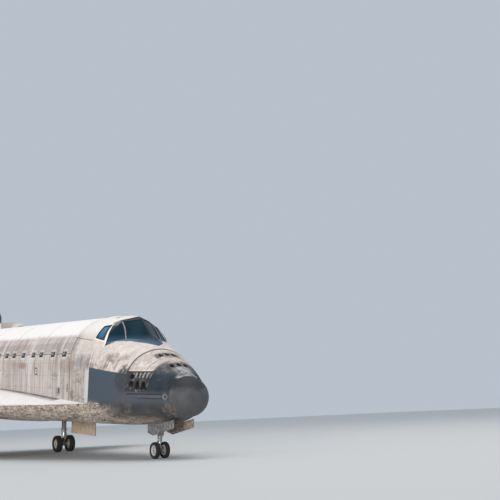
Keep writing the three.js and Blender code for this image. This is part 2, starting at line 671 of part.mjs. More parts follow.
function elevonBay([from, to]) {
  const bay = box([from * INCH, to * INCH], [0, 160 * INCH], [-40 * INCH, 40 * INCH]);
  return onHinge(join(bay, hingeNose(from, to, ELEVON_GAP)));
}

const ELEVON_PIN = 3;
function elevon([from, to]) {
  const ends = [from + RUNNING_GAP / INCH, to - RUNNING_GAP / INCH];
  const bay = box([ends[0] * INCH, ends[1] * INCH], [0, 160 * INCH], [-40 * INCH, 40 * INCH]);
  const blade = wholeWing.intersect(onHinge(bay));
  const pin = rod([from * INCH + GAP, 0, 0], [to * INCH - GAP, 0, 0], ELEVON_PIN * INCH, 12);
  return join(blade, onHinge(hingeNose(...ends, 0)), onHinge(pin));
}

// Leading edge strip, seen from above.
const EDGE_ROOT = 163;
const EDGE_DEPTH = 16;
function edgeStrip(grow) {
  const outline = [[EDGE_ROOT - grow, 900], [182, 1018], [312, 1148], [468, 1304], [480, 1316]];
  const back = outline.slice().reverse().map(([b, s]) => [b, s + grow + (b < 170 ? 40 : EDGE_DEPTH)]);
  const front = outline.map(([b, s]) => [b, s - 70]);
  const points = [...front, ...back].map(([b, s]) => [b * INCH, st(s)]);
  return prism('z', points, wl(250), wl(350));
}

const MAIN_WELL = { inner: 110, outer: 165, front: 1030, back: 1182, roof: 308 };

function wing() {
  const aftOfRib = onHinge(box([4 * INCH, 380 * INCH], [RIB_REACH * INCH, 160 * INCH], [-40 * INCH, 40 * INCH]));
  const well = box(
    [MAIN_WELL.inner * INCH, MAIN_WELL.outer * INCH],
    [st(MAIN_WELL.front), st(MAIN_WELL.back)],
    [wl(240), wl(MAIN_WELL.roof)],
  );
  const underBody = box([0, WING_ROOT * INCH + GAP], [st(830), st(1560)], [wl(240), wl(360)]);
  return cut(
    wholeWing,
    grownBody,
    underBody,
    elevonBay(ELEVONS.inboard),
    elevonBay(ELEVONS.outboard),
    aftOfRib,
    edgeStrip(GAP * 1.5 / INCH),
    well,
  );
}
pair('wing', wing(), WHITE_BLANKET);
pair('inboard_elevon', elevon(ELEVONS.inboard), WHITE_BLANKET);
pair('outboard_elevon', elevon(ELEVONS.outboard), WHITE_BLANKET);

// Fin: a swept wedge whose thickest line is the rudder's hinge.
const FIN_LEAD = [1276.8, 1592.5];
const FIN_TAIL = [1545.3, 1701];
const RUDDER_CHORD_PART = 0.6;
const FIN_THICKNESS = 0.052;
const RUDDER_TUBE = 2.2;

function finSizes(waterline) {
  const part = (waterline - FIN_ROOT) / (FIN_TIP - FIN_ROOT);
  const lead = Math.max(FIN_LEAD[0] + (FIN_LEAD[1] - FIN_LEAD[0]) * part, MID_END + 1.5);
  const tail = FIN_TAIL[0] + (FIN_TAIL[1] - FIN_TAIL[0]) * part;
  return { lead, tail, hinge: lead + (tail - lead) * RUDDER_CHORD_PART, half: (tail - lead) * FIN_THICKNESS };
}

function finRing(waterline) {
  const { lead, tail, hinge, half } = finSizes(waterline);
  const side = [[0.8, lead + 0.6], [2, lead + 4], [half, hinge], [1.4, tail]];
  const left = side.map(([b, s]) => [b * INCH, st(s), wl(waterline)]);
  const right = side.map(([b, s]) => [-b * INCH, st(s), wl(waterline)]).reverse();
  return [[0, st(lead), wl(waterline)], ...left, ...right];
}

const wholeFin = loft([486, 533, 640, FIN_TIP].map(finRing), [0, 1]);
const rudderAxisLow = new THREE.Vector3(0, st(finSizes(RUDDER_LOW).hinge), wl(RUDDER_LOW));
const rudderAxisHigh = new THREE.Vector3(0, st(finSizes(FIN_TIP).hinge), wl(FIN_TIP));
const rudderAlong = rudderAxisHigh.clone().sub(rudderAxisLow).normalize();
const rudderLength = rudderAxisHigh.distanceTo(rudderAxisLow);

// The rudder's frame: y runs up its hinge line, z forward across it, and x to the left.
const rudderFrame = new THREE.Matrix4().makeBasis(
  new THREE.Vector3(1, 0, 0),
  rudderAlong,
  new THREE.Vector3(1, 0, 0).cross(rudderAlong),
).setPosition(rudderAxisLow);
const onRudder = (solid) => toSolid(toGeometry(solid).applyMatrix4(rudderFrame));
const rudderRadius = (along) => {
  const [low, high] = [finSizes(RUDDER_LOW).half, finSizes(FIN_TIP).half];
  return (low + ((high - low) * along) / rudderLength) * INCH;
};

// A round nose about the rudder's hinge line between two places along it.
function rudderNose(from, to, grow) {
  return rod([0, from, 0], [0, to, 0], rudderRadius(from) + grow, 28, rudderRadius(to) + grow);
}

const TUBE_TOP = rudderLength - 6 * INCH;
const PANEL_INNER = 3;
const aboveFoot = (gap) => box([-2000, 2000], [st(1300), st(1800)], [wl(RUDDER_LOW) + gap, wl(900)]);
// The rudder turns about a leaning line, so its foot is raised where a turn brings it down.
const FOOT_LIFT = 4.7;
function aboveRaisedFoot() {
  const hinge = finSizes(RUDDER_LOW).hinge;
  const low = RUDDER_LOW + RUNNING_GAP / INCH;
  const line = [[1300, RUDDER_LOW + FOOT_LIFT], [hinge + 14, RUDDER_LOW + FOOT_LIFT], [hinge + 80, low], [1800, low]];
  return prism('x', [...line, [1800, 900], [1300, 900]].map(([s, w]) => [st(s), wl(w)]), -2000, 2000);
}
// A turned panel swings its thicker foot forward, so the room for its nose is wider than the nose.
const NOSE_ROOM = 24;
const PIN_LOW = -6;
const PIN_GAP = 1.5;
const rudderSpace = join(
  onRudder(join(
    box([-60 * INCH, 60 * INCH], [-80 * INCH, rudderLength + 80 * INCH], [-160 * INCH, 0]),
    rudderNose(-15 * INCH, rudderLength + 60 * INCH, NOSE_ROOM),
  )).intersect(aboveFoot(0)),
  onRudder(rod([0, PIN_LOW * INCH - GAP, 0], [0, 10 * INCH, 0], RUDDER_TUBE * INCH + PIN_GAP, 24)),
);

function rudderPanel() {
  const [low, high] = [-15 * INCH, rudderLength + 60 * INCH];
  const behind = box([PANEL_INNER, 60 * INCH], [-80 * INCH, high], [-160 * INCH, -3]);
  const shoulder = box([-60 * INCH, 60 * INCH], [-80 * INCH, high], [-9 * INCH, 1]);
  const shoulderRoom = shoulder.subtract(rudderNose(-80 * INCH, high, -6));
  const blade = wholeFin.intersect(onRudder(behind)).subtract(onRudder(shoulderRoom));
  const sector = prism('y', [[PANEL_INNER, -30], [1600, -30], [1600, 1350], [PANEL_INNER, 6]], low, TUBE_TOP);
  const nose = rudderNose(low, TUBE_TOP, -6).intersect(sector);
  const tube = rod([0, low - 10, 0], [0, high, 0], RUDDER_TUBE * INCH + 0.9, 24);
  return cut(join(blade, onRudder(nose)), onRudder(tube)).intersect(aboveRaisedFoot());
}

// A housing at the fin's foot, and the room that the upper engine's bell needs under both.
const CHUTE_SIDE = [[1470, 490], [1552, 490], [1552, 530], [1548, 534], [1500, 534], [1470, 516]];
const CHUTE_HALF = 12;
const BELL_ROOM = [[1515, 470], [1620, 470], [1620, 521], [1563, 521], [1545, 513], [1530, 505], [1515, 499]];
const sideOutline = (rows) => rows.map(([station, waterline]) => [st(station), wl(waterline)]);

function fin() {
  const chuteHousing = prism('x', sideOutline(CHUTE_SIDE), -CHUTE_HALF * INCH, CHUTE_HALF * INCH);
  const bellRoom = prism('x', sideOutline(BELL_ROOM), -20 * INCH, 20 * INCH);
  return cut(join(wholeFin, chuteHousing), rudderSpace, grownBody, bellRoom);
}
piece('fin', fin(), WHITE_BLANKET);
const rudderTube = onRudder(rod([0, PIN_LOW * INCH, 0], [0, TUBE_TOP, 0], RUDDER_TUBE * INCH, 24));
piece('rudder_tube', rudderTube, GEAR_METAL);
pair('rudder_panel', rudderPanel(), WHITE_BLANKET);

// Thruster pods: rounded housings on the body's rear shoulders.
const POD = [
  // station, buttline, waterline, halfWidth, halfHeight
  [1309.5, 66, 491, 7, 7],
  [1318, 66, 489, 19, 20],
  [1335, 66, 486, 29, 30],
  [1362, 68, 483, 37, 39],
  [1402, 72, 481, 43, 44.5],
  [1460, 77, 481, 47, 48],
  [1510, 80, 482, 48, 49],
  [1535, 81, 482, 47, 48],
];
const POD_STEPS = 18;

function podRing([station, buttline, waterline, halfWidth, halfHeight]) {
  return Array.from({ length: POD_STEPS }, (_, i) => {
    const angle = (Math.PI * 2 * i) / POD_STEPS;
    return [
      (buttline + halfWidth * Math.cos(angle)) * INCH,
      st(station),
      wl(waterline + halfHeight * Math.sin(angle)),
    ];
  });
}

const POD_NOZZLE = { base: 1512, buttline: 88, waterline: 492 };
function pod() {
  const thrusterBlock = box([100 * INCH, 128 * INCH], [st(1500), st(1558)], [wl(452), wl(500)]);
  const nozzleRoom = rod(
    [POD_NOZZLE.buttline * INCH, st(POD_NOZZLE.base), wl(POD_NOZZLE.waterline)],
    [POD_NOZZLE.buttline * INCH, st(POD_NOZZLE.base + 90), wl(POD_NOZZLE.waterline)],
    24 * INCH,
    16,
  );
  return cut(join(loft(POD.map(podRing), [0, 2]), thrusterBlock), grownBody, nozzleRoom);
}
pair('thruster_pod', pod(), WHITE_BLANKET);

function podNozzle() {
  const profile = [[0, 0.02], [12, 0.02], [12, 5], [9, 9], [16, 32], [21.5, 62], [20, 62], [14.5, 32], [6, 10], [0, 8]];
  const bell = new THREE.LatheGeometry(profile.map(([r, d]) => new THREE.Vector2(r * INCH, d * INCH)), 16);
  return toSolid(bell.translate(POD_NOZZLE.buttline * INCH, st(POD_NOZZLE.base), wl(POD_NOZZLE.waterline)));
}
pair('pod_nozzle', podNozzle(), ENGINE_METAL);

// Landing gear: the wheels stand upright on the ground, under the pitched airframe.
function axleHeight(station, radius) {
  return (radius * INCH - st(station) * Math.sin(PITCH)) / Math.cos(PITCH);
}
const noseAxle = axleHeight(NOSE_GEAR_STATION, NOSE_TYRE_RADIUS);
const mainAxle = axleHeight(MAIN_GEAR_STATION, MAIN_TYRE_RADIUS);

const TYRE_STEPS = 20;
function lathe(profile) {
  const points = profile.map(([r, x]) => new THREE.Vector2(r * INCH, x * INCH));
  return new THREE.LatheGeometry(points, TYRE_STEPS).rotateZ(-Math.PI / 2);
}

// A tyre about its axle, centred on x = 0.
function tyre(radius, width, rim) {
  const half = width / 2;
  const seat = rim + GAP / INCH;
  const side = [[seat, 0.64], [(radius + rim) / 2, 1], [radius - 1.6, 0.88], [radius, 0.6]];
  const left = side.map(([r, part]) => [r, part * half]);
  const right = left.map(([r, x]) => [r, -x]).reverse();
  return lathe([...left, ...right, left[0]]);
}

// Twin rims on one axle, centred between them.
function rims(spacing, rim, width, hub, boss, axle) {
  const middle = spacing / 2;
  const [inner, outer] = [middle - width / 2, middle + width / 2];
  const half = [
    [axle, boss + GAP / INCH], [hub, boss + GAP / INCH], [hub, inner + 1.5], [rim, inner],
    [rim, outer], [rim - 1.5, outer - 2], [hub, outer - 2], [0, outer - 1],
  ];
  const mirrored = half.slice().reverse().map(([r, x]) => [r, -x]);
  return lathe([...mirrored, ...half]);
}

function stand(name, geometry, material, [x, station, height]) {
  const mesh = new THREE.Mesh(toGeometry(toSolid(geometry)), material);
  mesh.name = name;
  mesh.position.set(x * INCH, st(station), height);
  mesh.rotation.x = -PITCH;
  airframe.add(mesh);
}

const NOSE_WHEEL = { spacing: 21.5, rim: 8, width: 8.8, hub: 3.2, boss: 4.2, axle: 1.5 };
const MAIN_WHEEL = { spacing: 36, rim: 10.5, width: 16, hub: 5, boss: 7, axle: 2.5 };

function wheelSet(name, sizes, radius, [x, station, height], tyreNames) {
  const { spacing, rim, width, hub, boss, axle } = sizes;
  stand(name, rims(spacing, rim, width * 0.62, hub, boss, axle), RIM_GREY, [x, station, height]);
  tyreNames.forEach((tyreName, i) => {
    const offset = (i === 0 ? 0.5 : -0.5) * spacing;
    stand(tyreName, tyre(radius, width, rim), TYRE_RUBBER, [x + offset, station, height]);
  });
}

wheelSet('nose_wheels', NOSE_WHEEL, NOSE_TYRE_RADIUS, [0, NOSE_GEAR_STATION, noseAxle], ['nose_tyre_left', 'nose_tyre_right']);
wheelSet(
  'main_wheels_left',
  MAIN_WHEEL,
  MAIN_TYRE_RADIUS,
  [MAIN_GEAR_HALF, MAIN_GEAR_STATION, mainAxle],
  ['main_tyre_left_outer', 'main_tyre_left_inner'],
);
wheelSet(
  'main_wheels_right',
  MAIN_WHEEL,
  MAIN_TYRE_RADIUS,
  [-MAIN_GEAR_HALF, MAIN_GEAR_STATION, mainAxle],
  ['main_tyre_right_inner', 'main_tyre_right_outer'],
);

// A boss around an axle: a short bar along x with a hole that clears the axle.
function axleBoss(x, station, height, outer, half, axle) {
  const place = (offset) => [(x + offset) * INCH, st(station), height];
  return {
    bar: rod(place(-half), place(half), outer * INCH, 20),
    hole: rod(place(-half - 1), place(half + 1), axle * INCH + 2.5, 24),
  };
}

const NOSE_COLLAR = 252;
function noseGear() {
  const centre = st(NOSE_GEAR_STATION);
  const strut = rod([0, centre, wl(NOSE_COLLAR)], [0, centre, wl(NOSE_WELL.roof) - GAP], 4.2 * INCH);
  const brace = rod([0, centre, wl(268)], [0, st(318), wl(NOSE_WELL.roof - 2.4)], 2 * INCH, 12);
  const foot = box([-5 * INCH, 5 * INCH], [st(312), st(324)], [wl(NOSE_WELL.roof - 6), wl(NOSE_WELL.roof) - GAP]);
  piece('nose_gear_leg', join(strut, brace, foot), GEAR_METAL);
  const boss = axleBoss(0, NOSE_GEAR_STATION, noseAxle, 2.8, NOSE_WHEEL.boss, NOSE_WHEEL.axle);
  const piston = rod([0, centre, noseAxle], [0, centre, wl(NOSE_COLLAR - 1)], 2.6 * INCH);
  const collar = rod([0, centre, wl(NOSE_COLLAR - 5)], [0, centre, wl(NOSE_COLLAR) - GAP], 4.4 * INCH);
  piece('nose_gear_fork', cut(join(boss.bar, piston, collar), boss.hole), GEAR_METAL);
}
noseGear();

function mainGearLeg() {
  const x = MAIN_GEAR_HALF * INCH;
  const centre = st(MAIN_GEAR_STATION);
  const boss = axleBoss(MAIN_GEAR_HALF, MAIN_GEAR_STATION, mainAxle, 4.6, MAIN_WHEEL.boss, MAIN_WHEEL.axle);
  const piston = rod([x, centre, mainAxle], [x, centre, wl(225)], 4.2 * INCH);
  const strut = rod([x, centre, wl(218)], [x, centre, wl(MAIN_WELL.roof) - GAP], 6.5 * INCH);
  const brace = rod([x, centre, wl(240)], [x, st(1098), wl(MAIN_WELL.roof - 3.5)], 3 * INCH, 12);
  const foot = box(
    [(MAIN_GEAR_HALF - 6) * INCH, (MAIN_GEAR_HALF + 6) * INCH],
    [st(1090), st(1106)],
    [wl(MAIN_WELL.roof - 8), wl(MAIN_WELL.roof) - GAP],
  );
  return cut(join(boss.bar, piston, strut, brace, foot), boss.hole);
}
pair('main_gear_leg', mainGearLeg(), GEAR_METAL);

// Gear doors, fixed open: plates that hang from the outer edges of the wells.
const NOSE_DOOR = { half: 20.7, thickness: 1.6 };
const NOSE_DOOR_OUTLINE = [[285, 312], [388, 312], [388, 264], [366, 259.5], [289, 276.5], [285, 279]];
const MAIN_DOOR = { half: 166, thickness: 2.5, low: 209 };

function noseDoor() {
  const { half, thickness } = NOSE_DOOR;
  const outline = NOSE_DOOR_OUTLINE.map(([s, w]) => [st(s), wl(w)]);
  return prism('x', outline, half * INCH, (half + thickness) * INCH).subtract(grownBody);
}
pair('nose_gear_door', noseDoor(), WHITE_BLANKET);

function mainDoor() {
  const { half, thickness, low } = MAIN_DOOR;
  const plate = box([half * INCH, (half + thickness) * INCH], [st(MAIN_WELL.front), st(MAIN_WELL.back)],
    [wl(low), wl(290)]);
  const grownWing = toSolid(toGeometry(wholeWing).translate(0, 0, -GAP));
  return plate.subtract(grownWing);
}
pair('main_gear_door', mainDoor(), WHITE_BLANKET);

// The leading edge strip follows the wing's own surface.
pair('wing_leading_edge', wholeWing.intersect(edgeStrip(0)).subtract(grownBody), CARBON);

// The whole craft stands nose down on its wheels, with the origin under its middle.
airframe.rotation.x = PITCH;
const orbiter = new THREE.Group();
airframe.position.y = (MAIN_GEAR_STATION - ORIGIN_STATION) * INCH + ORIGIN_TRIM;
orbiter.add(airframe);

export default orbiter;
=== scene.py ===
# The looks of a winged orbiter parked on its gear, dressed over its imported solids.
# Metres, +Z up, the nose towards -Y and the left side towards +X.
import json
import math

import bpy
from mathutils import Matrix, Vector


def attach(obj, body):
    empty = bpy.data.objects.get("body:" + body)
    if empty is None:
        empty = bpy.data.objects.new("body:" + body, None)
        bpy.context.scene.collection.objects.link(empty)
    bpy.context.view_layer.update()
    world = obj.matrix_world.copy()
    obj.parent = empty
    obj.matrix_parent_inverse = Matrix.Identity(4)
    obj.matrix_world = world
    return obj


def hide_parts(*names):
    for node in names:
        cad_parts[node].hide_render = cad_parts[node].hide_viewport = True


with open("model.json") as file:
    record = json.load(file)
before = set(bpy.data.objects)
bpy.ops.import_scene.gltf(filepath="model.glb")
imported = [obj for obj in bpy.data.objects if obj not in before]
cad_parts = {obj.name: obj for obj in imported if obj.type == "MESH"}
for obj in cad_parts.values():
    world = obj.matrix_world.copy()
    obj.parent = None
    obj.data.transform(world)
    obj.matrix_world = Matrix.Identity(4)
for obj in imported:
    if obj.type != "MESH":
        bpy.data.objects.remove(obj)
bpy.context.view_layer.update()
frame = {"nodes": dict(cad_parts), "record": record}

# The airframe is drawn level, in inches: buttline b out to the left, station s aft, waterline w up.
INCH = 0.0254
PITCH = math.radians(3.91)
GEAR_STATION = 1165
GROUND_WATERLINE = 159.85
ORIGIN_Y = 5.7107
STAND = (
    Matrix.Translation((0, ORIGIN_Y, 0))
    @ Matrix.Rotation(PITCH, 4, "X")
    @ Matrix.Scale(INCH, 4)
    @ Matrix.Translation((0, -GEAR_STATION, -GROUND_WATERLINE))
)
BODY_OF = {node: body for body, nodes in frame["record"]["behaviour"]["bodies"].items() for node in nodes}


# Shader maths


def srgb(red, green, blue):
    """A colour given as 0 to 255 screen values, made linear."""
    return tuple(((c / 255 + 0.055) / 1.055) ** 2.4 if c > 10 else c / 3294.6 for c in (red, green, blue))


def maths(operation, reverse=False):
    """A method of Field that adds a Math node. In reverse, the other value comes first."""

    def method(self, *others):
        values = (*others, self) if reverse else (self, *others)
        return Field(self.paint, self.paint.node("ShaderNodeMath", {"operation": operation}, dict(enumerate(values))))

    return method


class Field:
    """A value that changes over a surface. Arithmetic on it adds Math nodes."""

    def __init__(self, paint, node, output=0):
        self.paint = paint
        self.socket = node.outputs[output]

    __add__, __radd__ = maths("ADD"), maths("ADD", reverse=True)
    __sub__, __rsub__ = maths("SUBTRACT"), maths("SUBTRACT", reverse=True)
    __mul__, __rmul__ = maths("MULTIPLY"), maths("MULTIPLY", reverse=True)
    __truediv__, __abs__ = maths("DIVIDE"), maths("ABSOLUTE")
    low, high = maths("MINIMUM"), maths("MAXIMUM")
    part, floor = maths("FRACT"), maths("FLOOR")

    def rise(self, start, end):
        """0 below start and 1 above end, with a soft ramp between."""
        settings = {"interpolation_type": "SMOOTHSTEP"}
        values = {"Value": self, "From Min": start, "From Max": end, "To Min": 0.0, "To Max": 1.0}
        return Field(self.paint, self.paint.node("ShaderNodeMapRange", settings, values))

    def fall(self, start, end):
        return 1 - self.rise(start, end)

    def near(self, value, half, soft):
        """1 within half of a value, fading over soft."""
        return abs(self - value).fall(half, half + soft)

    def lines(self, pitch, half, soft):
        """1 on lines that repeat at a pitch."""
        return (abs((self / pitch).part() - 0.5) * -pitch + pitch / 2).fall(half, half + soft)


def most(first, *others):
    """The highest of several fields."""
    for field in others:
        first = first.high(field)
    return first


class Paint:
    """A procedural material on the airframe's own inches. Its colours are screen values or fields."""

    WORN = (38.7, 35.2, 32.7)

    def __init__(self, name):
        self.material = bpy.data.materials.new(name)
        self.material.use_nodes = True
        self.tree = self.material.node_tree
        self.tree.nodes.clear()
        self.shader = self.node("ShaderNodeBsdfPrincipled")
        self.node("ShaderNodeOutputMaterial", {}, {"Surface": self.shader.outputs[0]})
        across = ORIGIN_Y / INCH
        corner = (0, GEAR_STATION - across * math.cos(PITCH), GROUND_WATERLINE + across * math.sin(PITCH))
        self.place = Field(self, self.node("ShaderNodeMapping", {"vector_type": "POINT"}, {
            "Vector": self.node("ShaderNodeTexCoord").outputs["Object"],
            "Location": corner,
            "Rotation": (-PITCH, 0, 0),
            "Scale": (1 / INCH,) * 3,
        }))
        split = self.node("ShaderNodeSeparateXYZ", {}, {0: self.place})
        self.b, self.s, self.w = (Field(self, split, k) for k in range(3))
        self.out = abs(self.b)

    def node(self, kind, settings=None, values=None):
        """Any node: its settings go first, then the values or links of its sockets."""
        node = self.tree.nodes.new(kind)
        for key, value in (settings or {}).items():
            setattr(node, key, value)
        return self.wire(node, values or {})

    def wire(self, node, values):
        for key, value in values.items():
            socket = node.inputs[key]
            value = value.socket if isinstance(value, Field) else value
            if isinstance(value, bpy.types.NodeSocket):
                self.tree.links.new(value, socket)
            else:
                socket.default_value = (*srgb(*value), 1) if socket.type == "RGBA" else value
        return node

    def vector(self, x, y, z):
        return Field(self, self.node("ShaderNodeCombineXYZ", {}, {0: x, 1: y, 2: z}))

    def noise(self, vector=None, scale=1.0, detail=3.0, rough=0.55, warp=0.0):
        values = {"Vector": vector or self.place, "Scale": scale}
        values |= {"Detail": detail, "Roughness": rough, "Distortion": warp}
        return Field(self, self.node("ShaderNodeTexNoise", {}, values))

    def mottle(self, scale=0.05):
        return self.noise(scale=scale, detail=6, rough=0.6, warp=0.3)

    def grain(self):
        return self.noise(scale=0.35, detail=4, rough=0.65)

    def stretched(self, axes, scales, detail=5, rough=0.65, warp=0.0):
        """Noise with its own scale along each axis."""
        fields = (getattr(self, axis) * scale for axis, scale in zip(axes, scales))
        return self.noise(self.vector(*fields), 1, detail, rough, warp)

    def speckle(self, vector):
        """A different value for each whole step of a vector."""
        return Field(self, self.node("ShaderNodeTexWhiteNoise", {"noise_dimensions": "3D"}, {"Vector": vector}))

    def spot(self, station, waterline, reach, lift):
        """1 in the middle of an oval on the body side, fading out at its edge."""
        along, up = (self.s - station) / reach, (self.w - waterline) / lift
        return (along * along + up * up).fall(0.35, 1.15)

    def blend(self, factor, first, second):
        settings = {"data_type": "RGBA", "blend_type": "MIX", "clamp_factor": True}
        return Field(self, self.node("ShaderNodeMix", settings, {0: factor, 6: first, 7: second}), 2)

    def coats(self, colour, *coats):
        """Lays coats over a colour, each a mask and a shade."""
        for mask, shade in coats:
            colour = self.blend(mask, colour, shade)
        return colour

    def wear(self, colour, amount, strength=0.35):
        """Darkens a colour where amount is high."""
        return self.blend(amount * strength, colour, self.WORN)

    def finish(self, colour, rough, metal=0.0, bump=None, depth=0.002, **more):
        values = {"Base Color": colour, "Roughness": rough, "Metallic": metal, **more}
        if bump is not None:
            relief = {"Strength": 0.6, "Distance": depth, "Height": bump}
            values["Normal"] = Field(self, self.node("ShaderNodeBump", {}, relief))
        self.wire(self.shader, values)
        return self.material


# Materials

HINGE_STATIONS = (617, 680, 748, 795, 858, 920, 970, 1028, 1085, 1140, 1190, 1238, 1280)
STAINS = (
    # station, waterline, reach, lift, strength, colour
    (856, 395, 24, 8, 0.85, (172, 134, 112)), (872, 396, 60, 10, 0.35, (150, 130, 118)),
    (600, 396, 44, 18, 0.5, (158, 130, 112)), (660, 376, 22, 5, 0.4, (134, 122, 114)),
    (566, 335, 13, 12, 0.75, (118, 108, 86)), (640, 340, 16, 12, 0.5, (126, 110, 100)),
    (778, 398, 5, 24, 0.5, (128, 112, 104)), (612, 345, 10, 40, 0.3, (136, 120, 108)),
)
TILE = 6.0


def belly_colour(paint, mottle):
    """Worn dark tiles, set across the body: brown and grey blotches, pale flecks and the lines between tiles."""
    across = (paint.s + paint.b) / (TILE * 1.4142)
    along = (paint.s - paint.b) / (TILE * 1.4142)
    tint = paint.speckle(paint.vector(across.floor(), along.floor(), (paint.w / TILE).floor()))
    lines = across.lines(1, 0.03, 0.05).high(along.lines(1, 0.03, 0.05))
    smear = paint.stretched("bsw", (0.06, 0.03, 0.12), 5, 0.62, 0.6)
    grit = paint.stretched("bsw", (0.14, 0.1, 0.26), 5, 0.75, 0.9)
    colour = paint.coats(
        paint.blend(smear.rise(0.36, 0.64), (158, 142, 130), (206, 190, 175)),
        (mottle.rise(0.46, 0.7) * 0.45, (128, 118, 112)),
        (grit.rise(0.52, 0.6) * 0.8, (228, 214, 199)),
        (grit.fall(0.4, 0.48) * 0.85, (66, 57, 52)),
        (tint * 0.14, (86, 80, 78)),
        (paint.s.rise(760, 1100) * 0.16, (86, 78, 74)),
    )
    return paint.wear(colour, lines, 0.3), lines


def pane_area(s, w, margin):
    """1 inside the aft side pane's outline, grown by a margin."""
    along, up = s - 487, w - 449.5
    area = (along - up * 0.291 + margin).rise(0, 1) * (17 + (w - 454) * 0.143 - along + margin).rise(0, 1)
    return area * (up - along * 0.265 + margin).rise(0, 1) * (27.5 - (s - 495) * 0.167 - up + margin).rise(0, 1)


def weathered_body():
    """White blankets and tiles above, dark tiles below, with the stains of many flights."""
    paint = Paint("weathered_body")
    s, w, out = paint.s, paint.w, paint.out
    mottle, fine = paint.mottle(0.045), paint.grain()
    cloth = paint.noise(scale=0.15, detail=6, rough=0.74, warp=0.5)
    soot = paint.noise(scale=0.12, detail=6, rough=0.72, warp=0.6)
    streak = paint.stretched("sbw", (0.16, 0.01, 0.008))
    bands = paint.stretched("sbw", (0.045, 0.004, 0.005), 3, 0.6)
    grime = paint.stretched("sbw", (0.035, 0.02, 0.05), 6, 0.7, 0.7)
    edge = (mottle - 0.5) * 14 + (fine - 0.5) * 8

    # Partly painted light: the top of the body, lit from above, is made lighter than the sides
    high = (w + (bands - 0.5) * 20).rise(455, 465) * s.rise(584, 604)
    side = s.rise(545, 600) * w.fall(452, 464)
    strips = most(s.near(812, 7, 3), s.near(638, 5, 3), s.near(1003, 7, 3))
    front = s.fall(560, 590) * s.rise(380, 400)
    low_front = front * w.fall(396, 416) * s.rise(490, 492)
    smudged = w.fall(408, 426) * 0.6 + 0.16
    pale_roof = (w + edge * 0.5).rise(450, 474) * s.rise(478, 500) * s.fall(584, 604)
    vents = most(
        s.near(592, 2.2, 0.8) * w.near(349, 8, 1.5),
        s.near(637, 4, 1) * w.near(342, 5, 1.5),
        paint.spot(1010, 385, 5.5, 4.5),
        s.near(770, 8, 1) * w.near(383, 8, 1) - s.near(770, 5, 1) * w.near(383, 5, 1),
    )
    white = paint.coats(
        # White surface; lighter along the top, partly a cleaner skin and partly painted light where the light from
        # above falls on the crown
        paint.blend(mottle.rise(0.3, 0.7), (233, 222, 214), (212, 200, 192)),
        (cloth.rise(0.5, 0.7) * 0.3, (176, 162, 154)),
        (fine.rise(0.48, 0.6) * 0.24, (138, 124, 116)),
        (high * 0.9, (250, 247, 243)),
        (high * streak.rise(0.6, 0.8) * 0.25, (190, 180, 172)),
        # Body side: streaks that run down, lighter strips and brown patches
        (side * 0.75, (206, 196, 191)),
        (bands.rise(0.42, 0.62) * side * 0.5, (166, 155, 149)),
        (streak.rise(0.5, 0.66) * side * 0.7, (138, 120, 111)),
        (streak.fall(0.3, 0.42) * side * 0.8, (240, 236, 233)),
        (grime.rise(0.56, 0.7) * w.near(386, 34, 16) * side * 0.6, (138, 106, 88)),
        (w.near(434, 9, 4) * side * 0.42, (152, 140, 133)),
        (strips * side * (0.15 + mottle.rise(0.35, 0.6) * 0.3), (238, 236, 232)),
        # Forward side: smudged, with a clean strip behind the dark panel
        (low_front * 0.6, (182, 171, 163)),
        (grime.rise(0.46, 0.66) * front * smudged, (140, 122, 112)),
        (streak.rise(0.48, 0.62) * front * w.near(402, 12, 8) * 0.6, (128, 108, 98)),
        (streak.rise(0.5, 0.7) * low_front * 0.8, (126, 112, 104)),
        (s.near(499, 7, 5) * w.fall(384, 394) * 0.75, (222, 219, 216)),
        (paint.spot(528, 404, 34, 14) * 0.45, (142, 144, 152)),
        (paint.spot(430, 412, 16, 10) * soot.rise(0.42, 0.6) * 0.5, (128, 110, 100)),
        (paint.spot(388, 388, 9, 16) * soot.rise(0.4, 0.55) * 0.7, (96, 88, 84)),
        (paint.spot(573, 452, 14, 40) * soot.rise(0.45, 0.6) * 0.4, (126, 114, 108)),
        (pale_roof * 0.75, (246, 240, 234)),
        # Stains, small doors and vents
        *((paint.spot(*place) * soot.rise(0.3, 0.55) * strength * out.rise(80, 90), shade)
          for *place, strength, shade in STAINS),
        (vents * out.rise(88, 92) * 0.8, (62, 52, 46)),
    )

    # Panel seams
    seams = s.lines(31.5, 0.3, 0.6).high((w + 4).lines(27, 0.3, 0.6) * side)
    joint = s.near(582.2, 1.6, 1.2) * (1 - w.rise(450, 486) * 0.8)
    cabin_line = (w - s * 0.094).near(399.2, 0.8, 0.8) * s.near(552, 40, 5)
    white = paint.wear(white, seams, 0.16)
    white = paint.blend(joint.high(cabin_line * 0.7) * 0.72, white, (96, 78, 68))
    door_ends = (s.near(station, 0.5, 0.8) * w.rise(419, 422) for station in (760, 938, 1118))
    big = most(s.near(1303, 0.9, 1), *door_ends)
    ridge = out.fall(0.6, 1.6) * s.rise(580, 584) * s.fall(1300, 1306) * w.rise(480, 484)
    white = paint.wear(white, big.high(ridge), 0.6)

    # Dark hinge covers with a pale cross, in a pale surround
    covers = most(*(s.near(station, 10.5, 1) - s.near(station + 1, 0.9, 0.8) * 0.6 for station in HINGE_STATIONS))
    covers = covers * (w.near(420, 5.4, 0.8) - w.near(420.5, 0.5, 0.6) * 0.5) * out.rise(92, 95)
    halo = most(*(s.near(station, 14, 1.5) for station in HINGE_STATIONS)) * w.near(420, 10, 1.5)
    white = paint.coats(
        white,
        (covers * 0.94, (46, 40, 38)),
        (halo * (1 - covers) * out.rise(92, 95) * 0.35, (236, 232, 230)),
    )

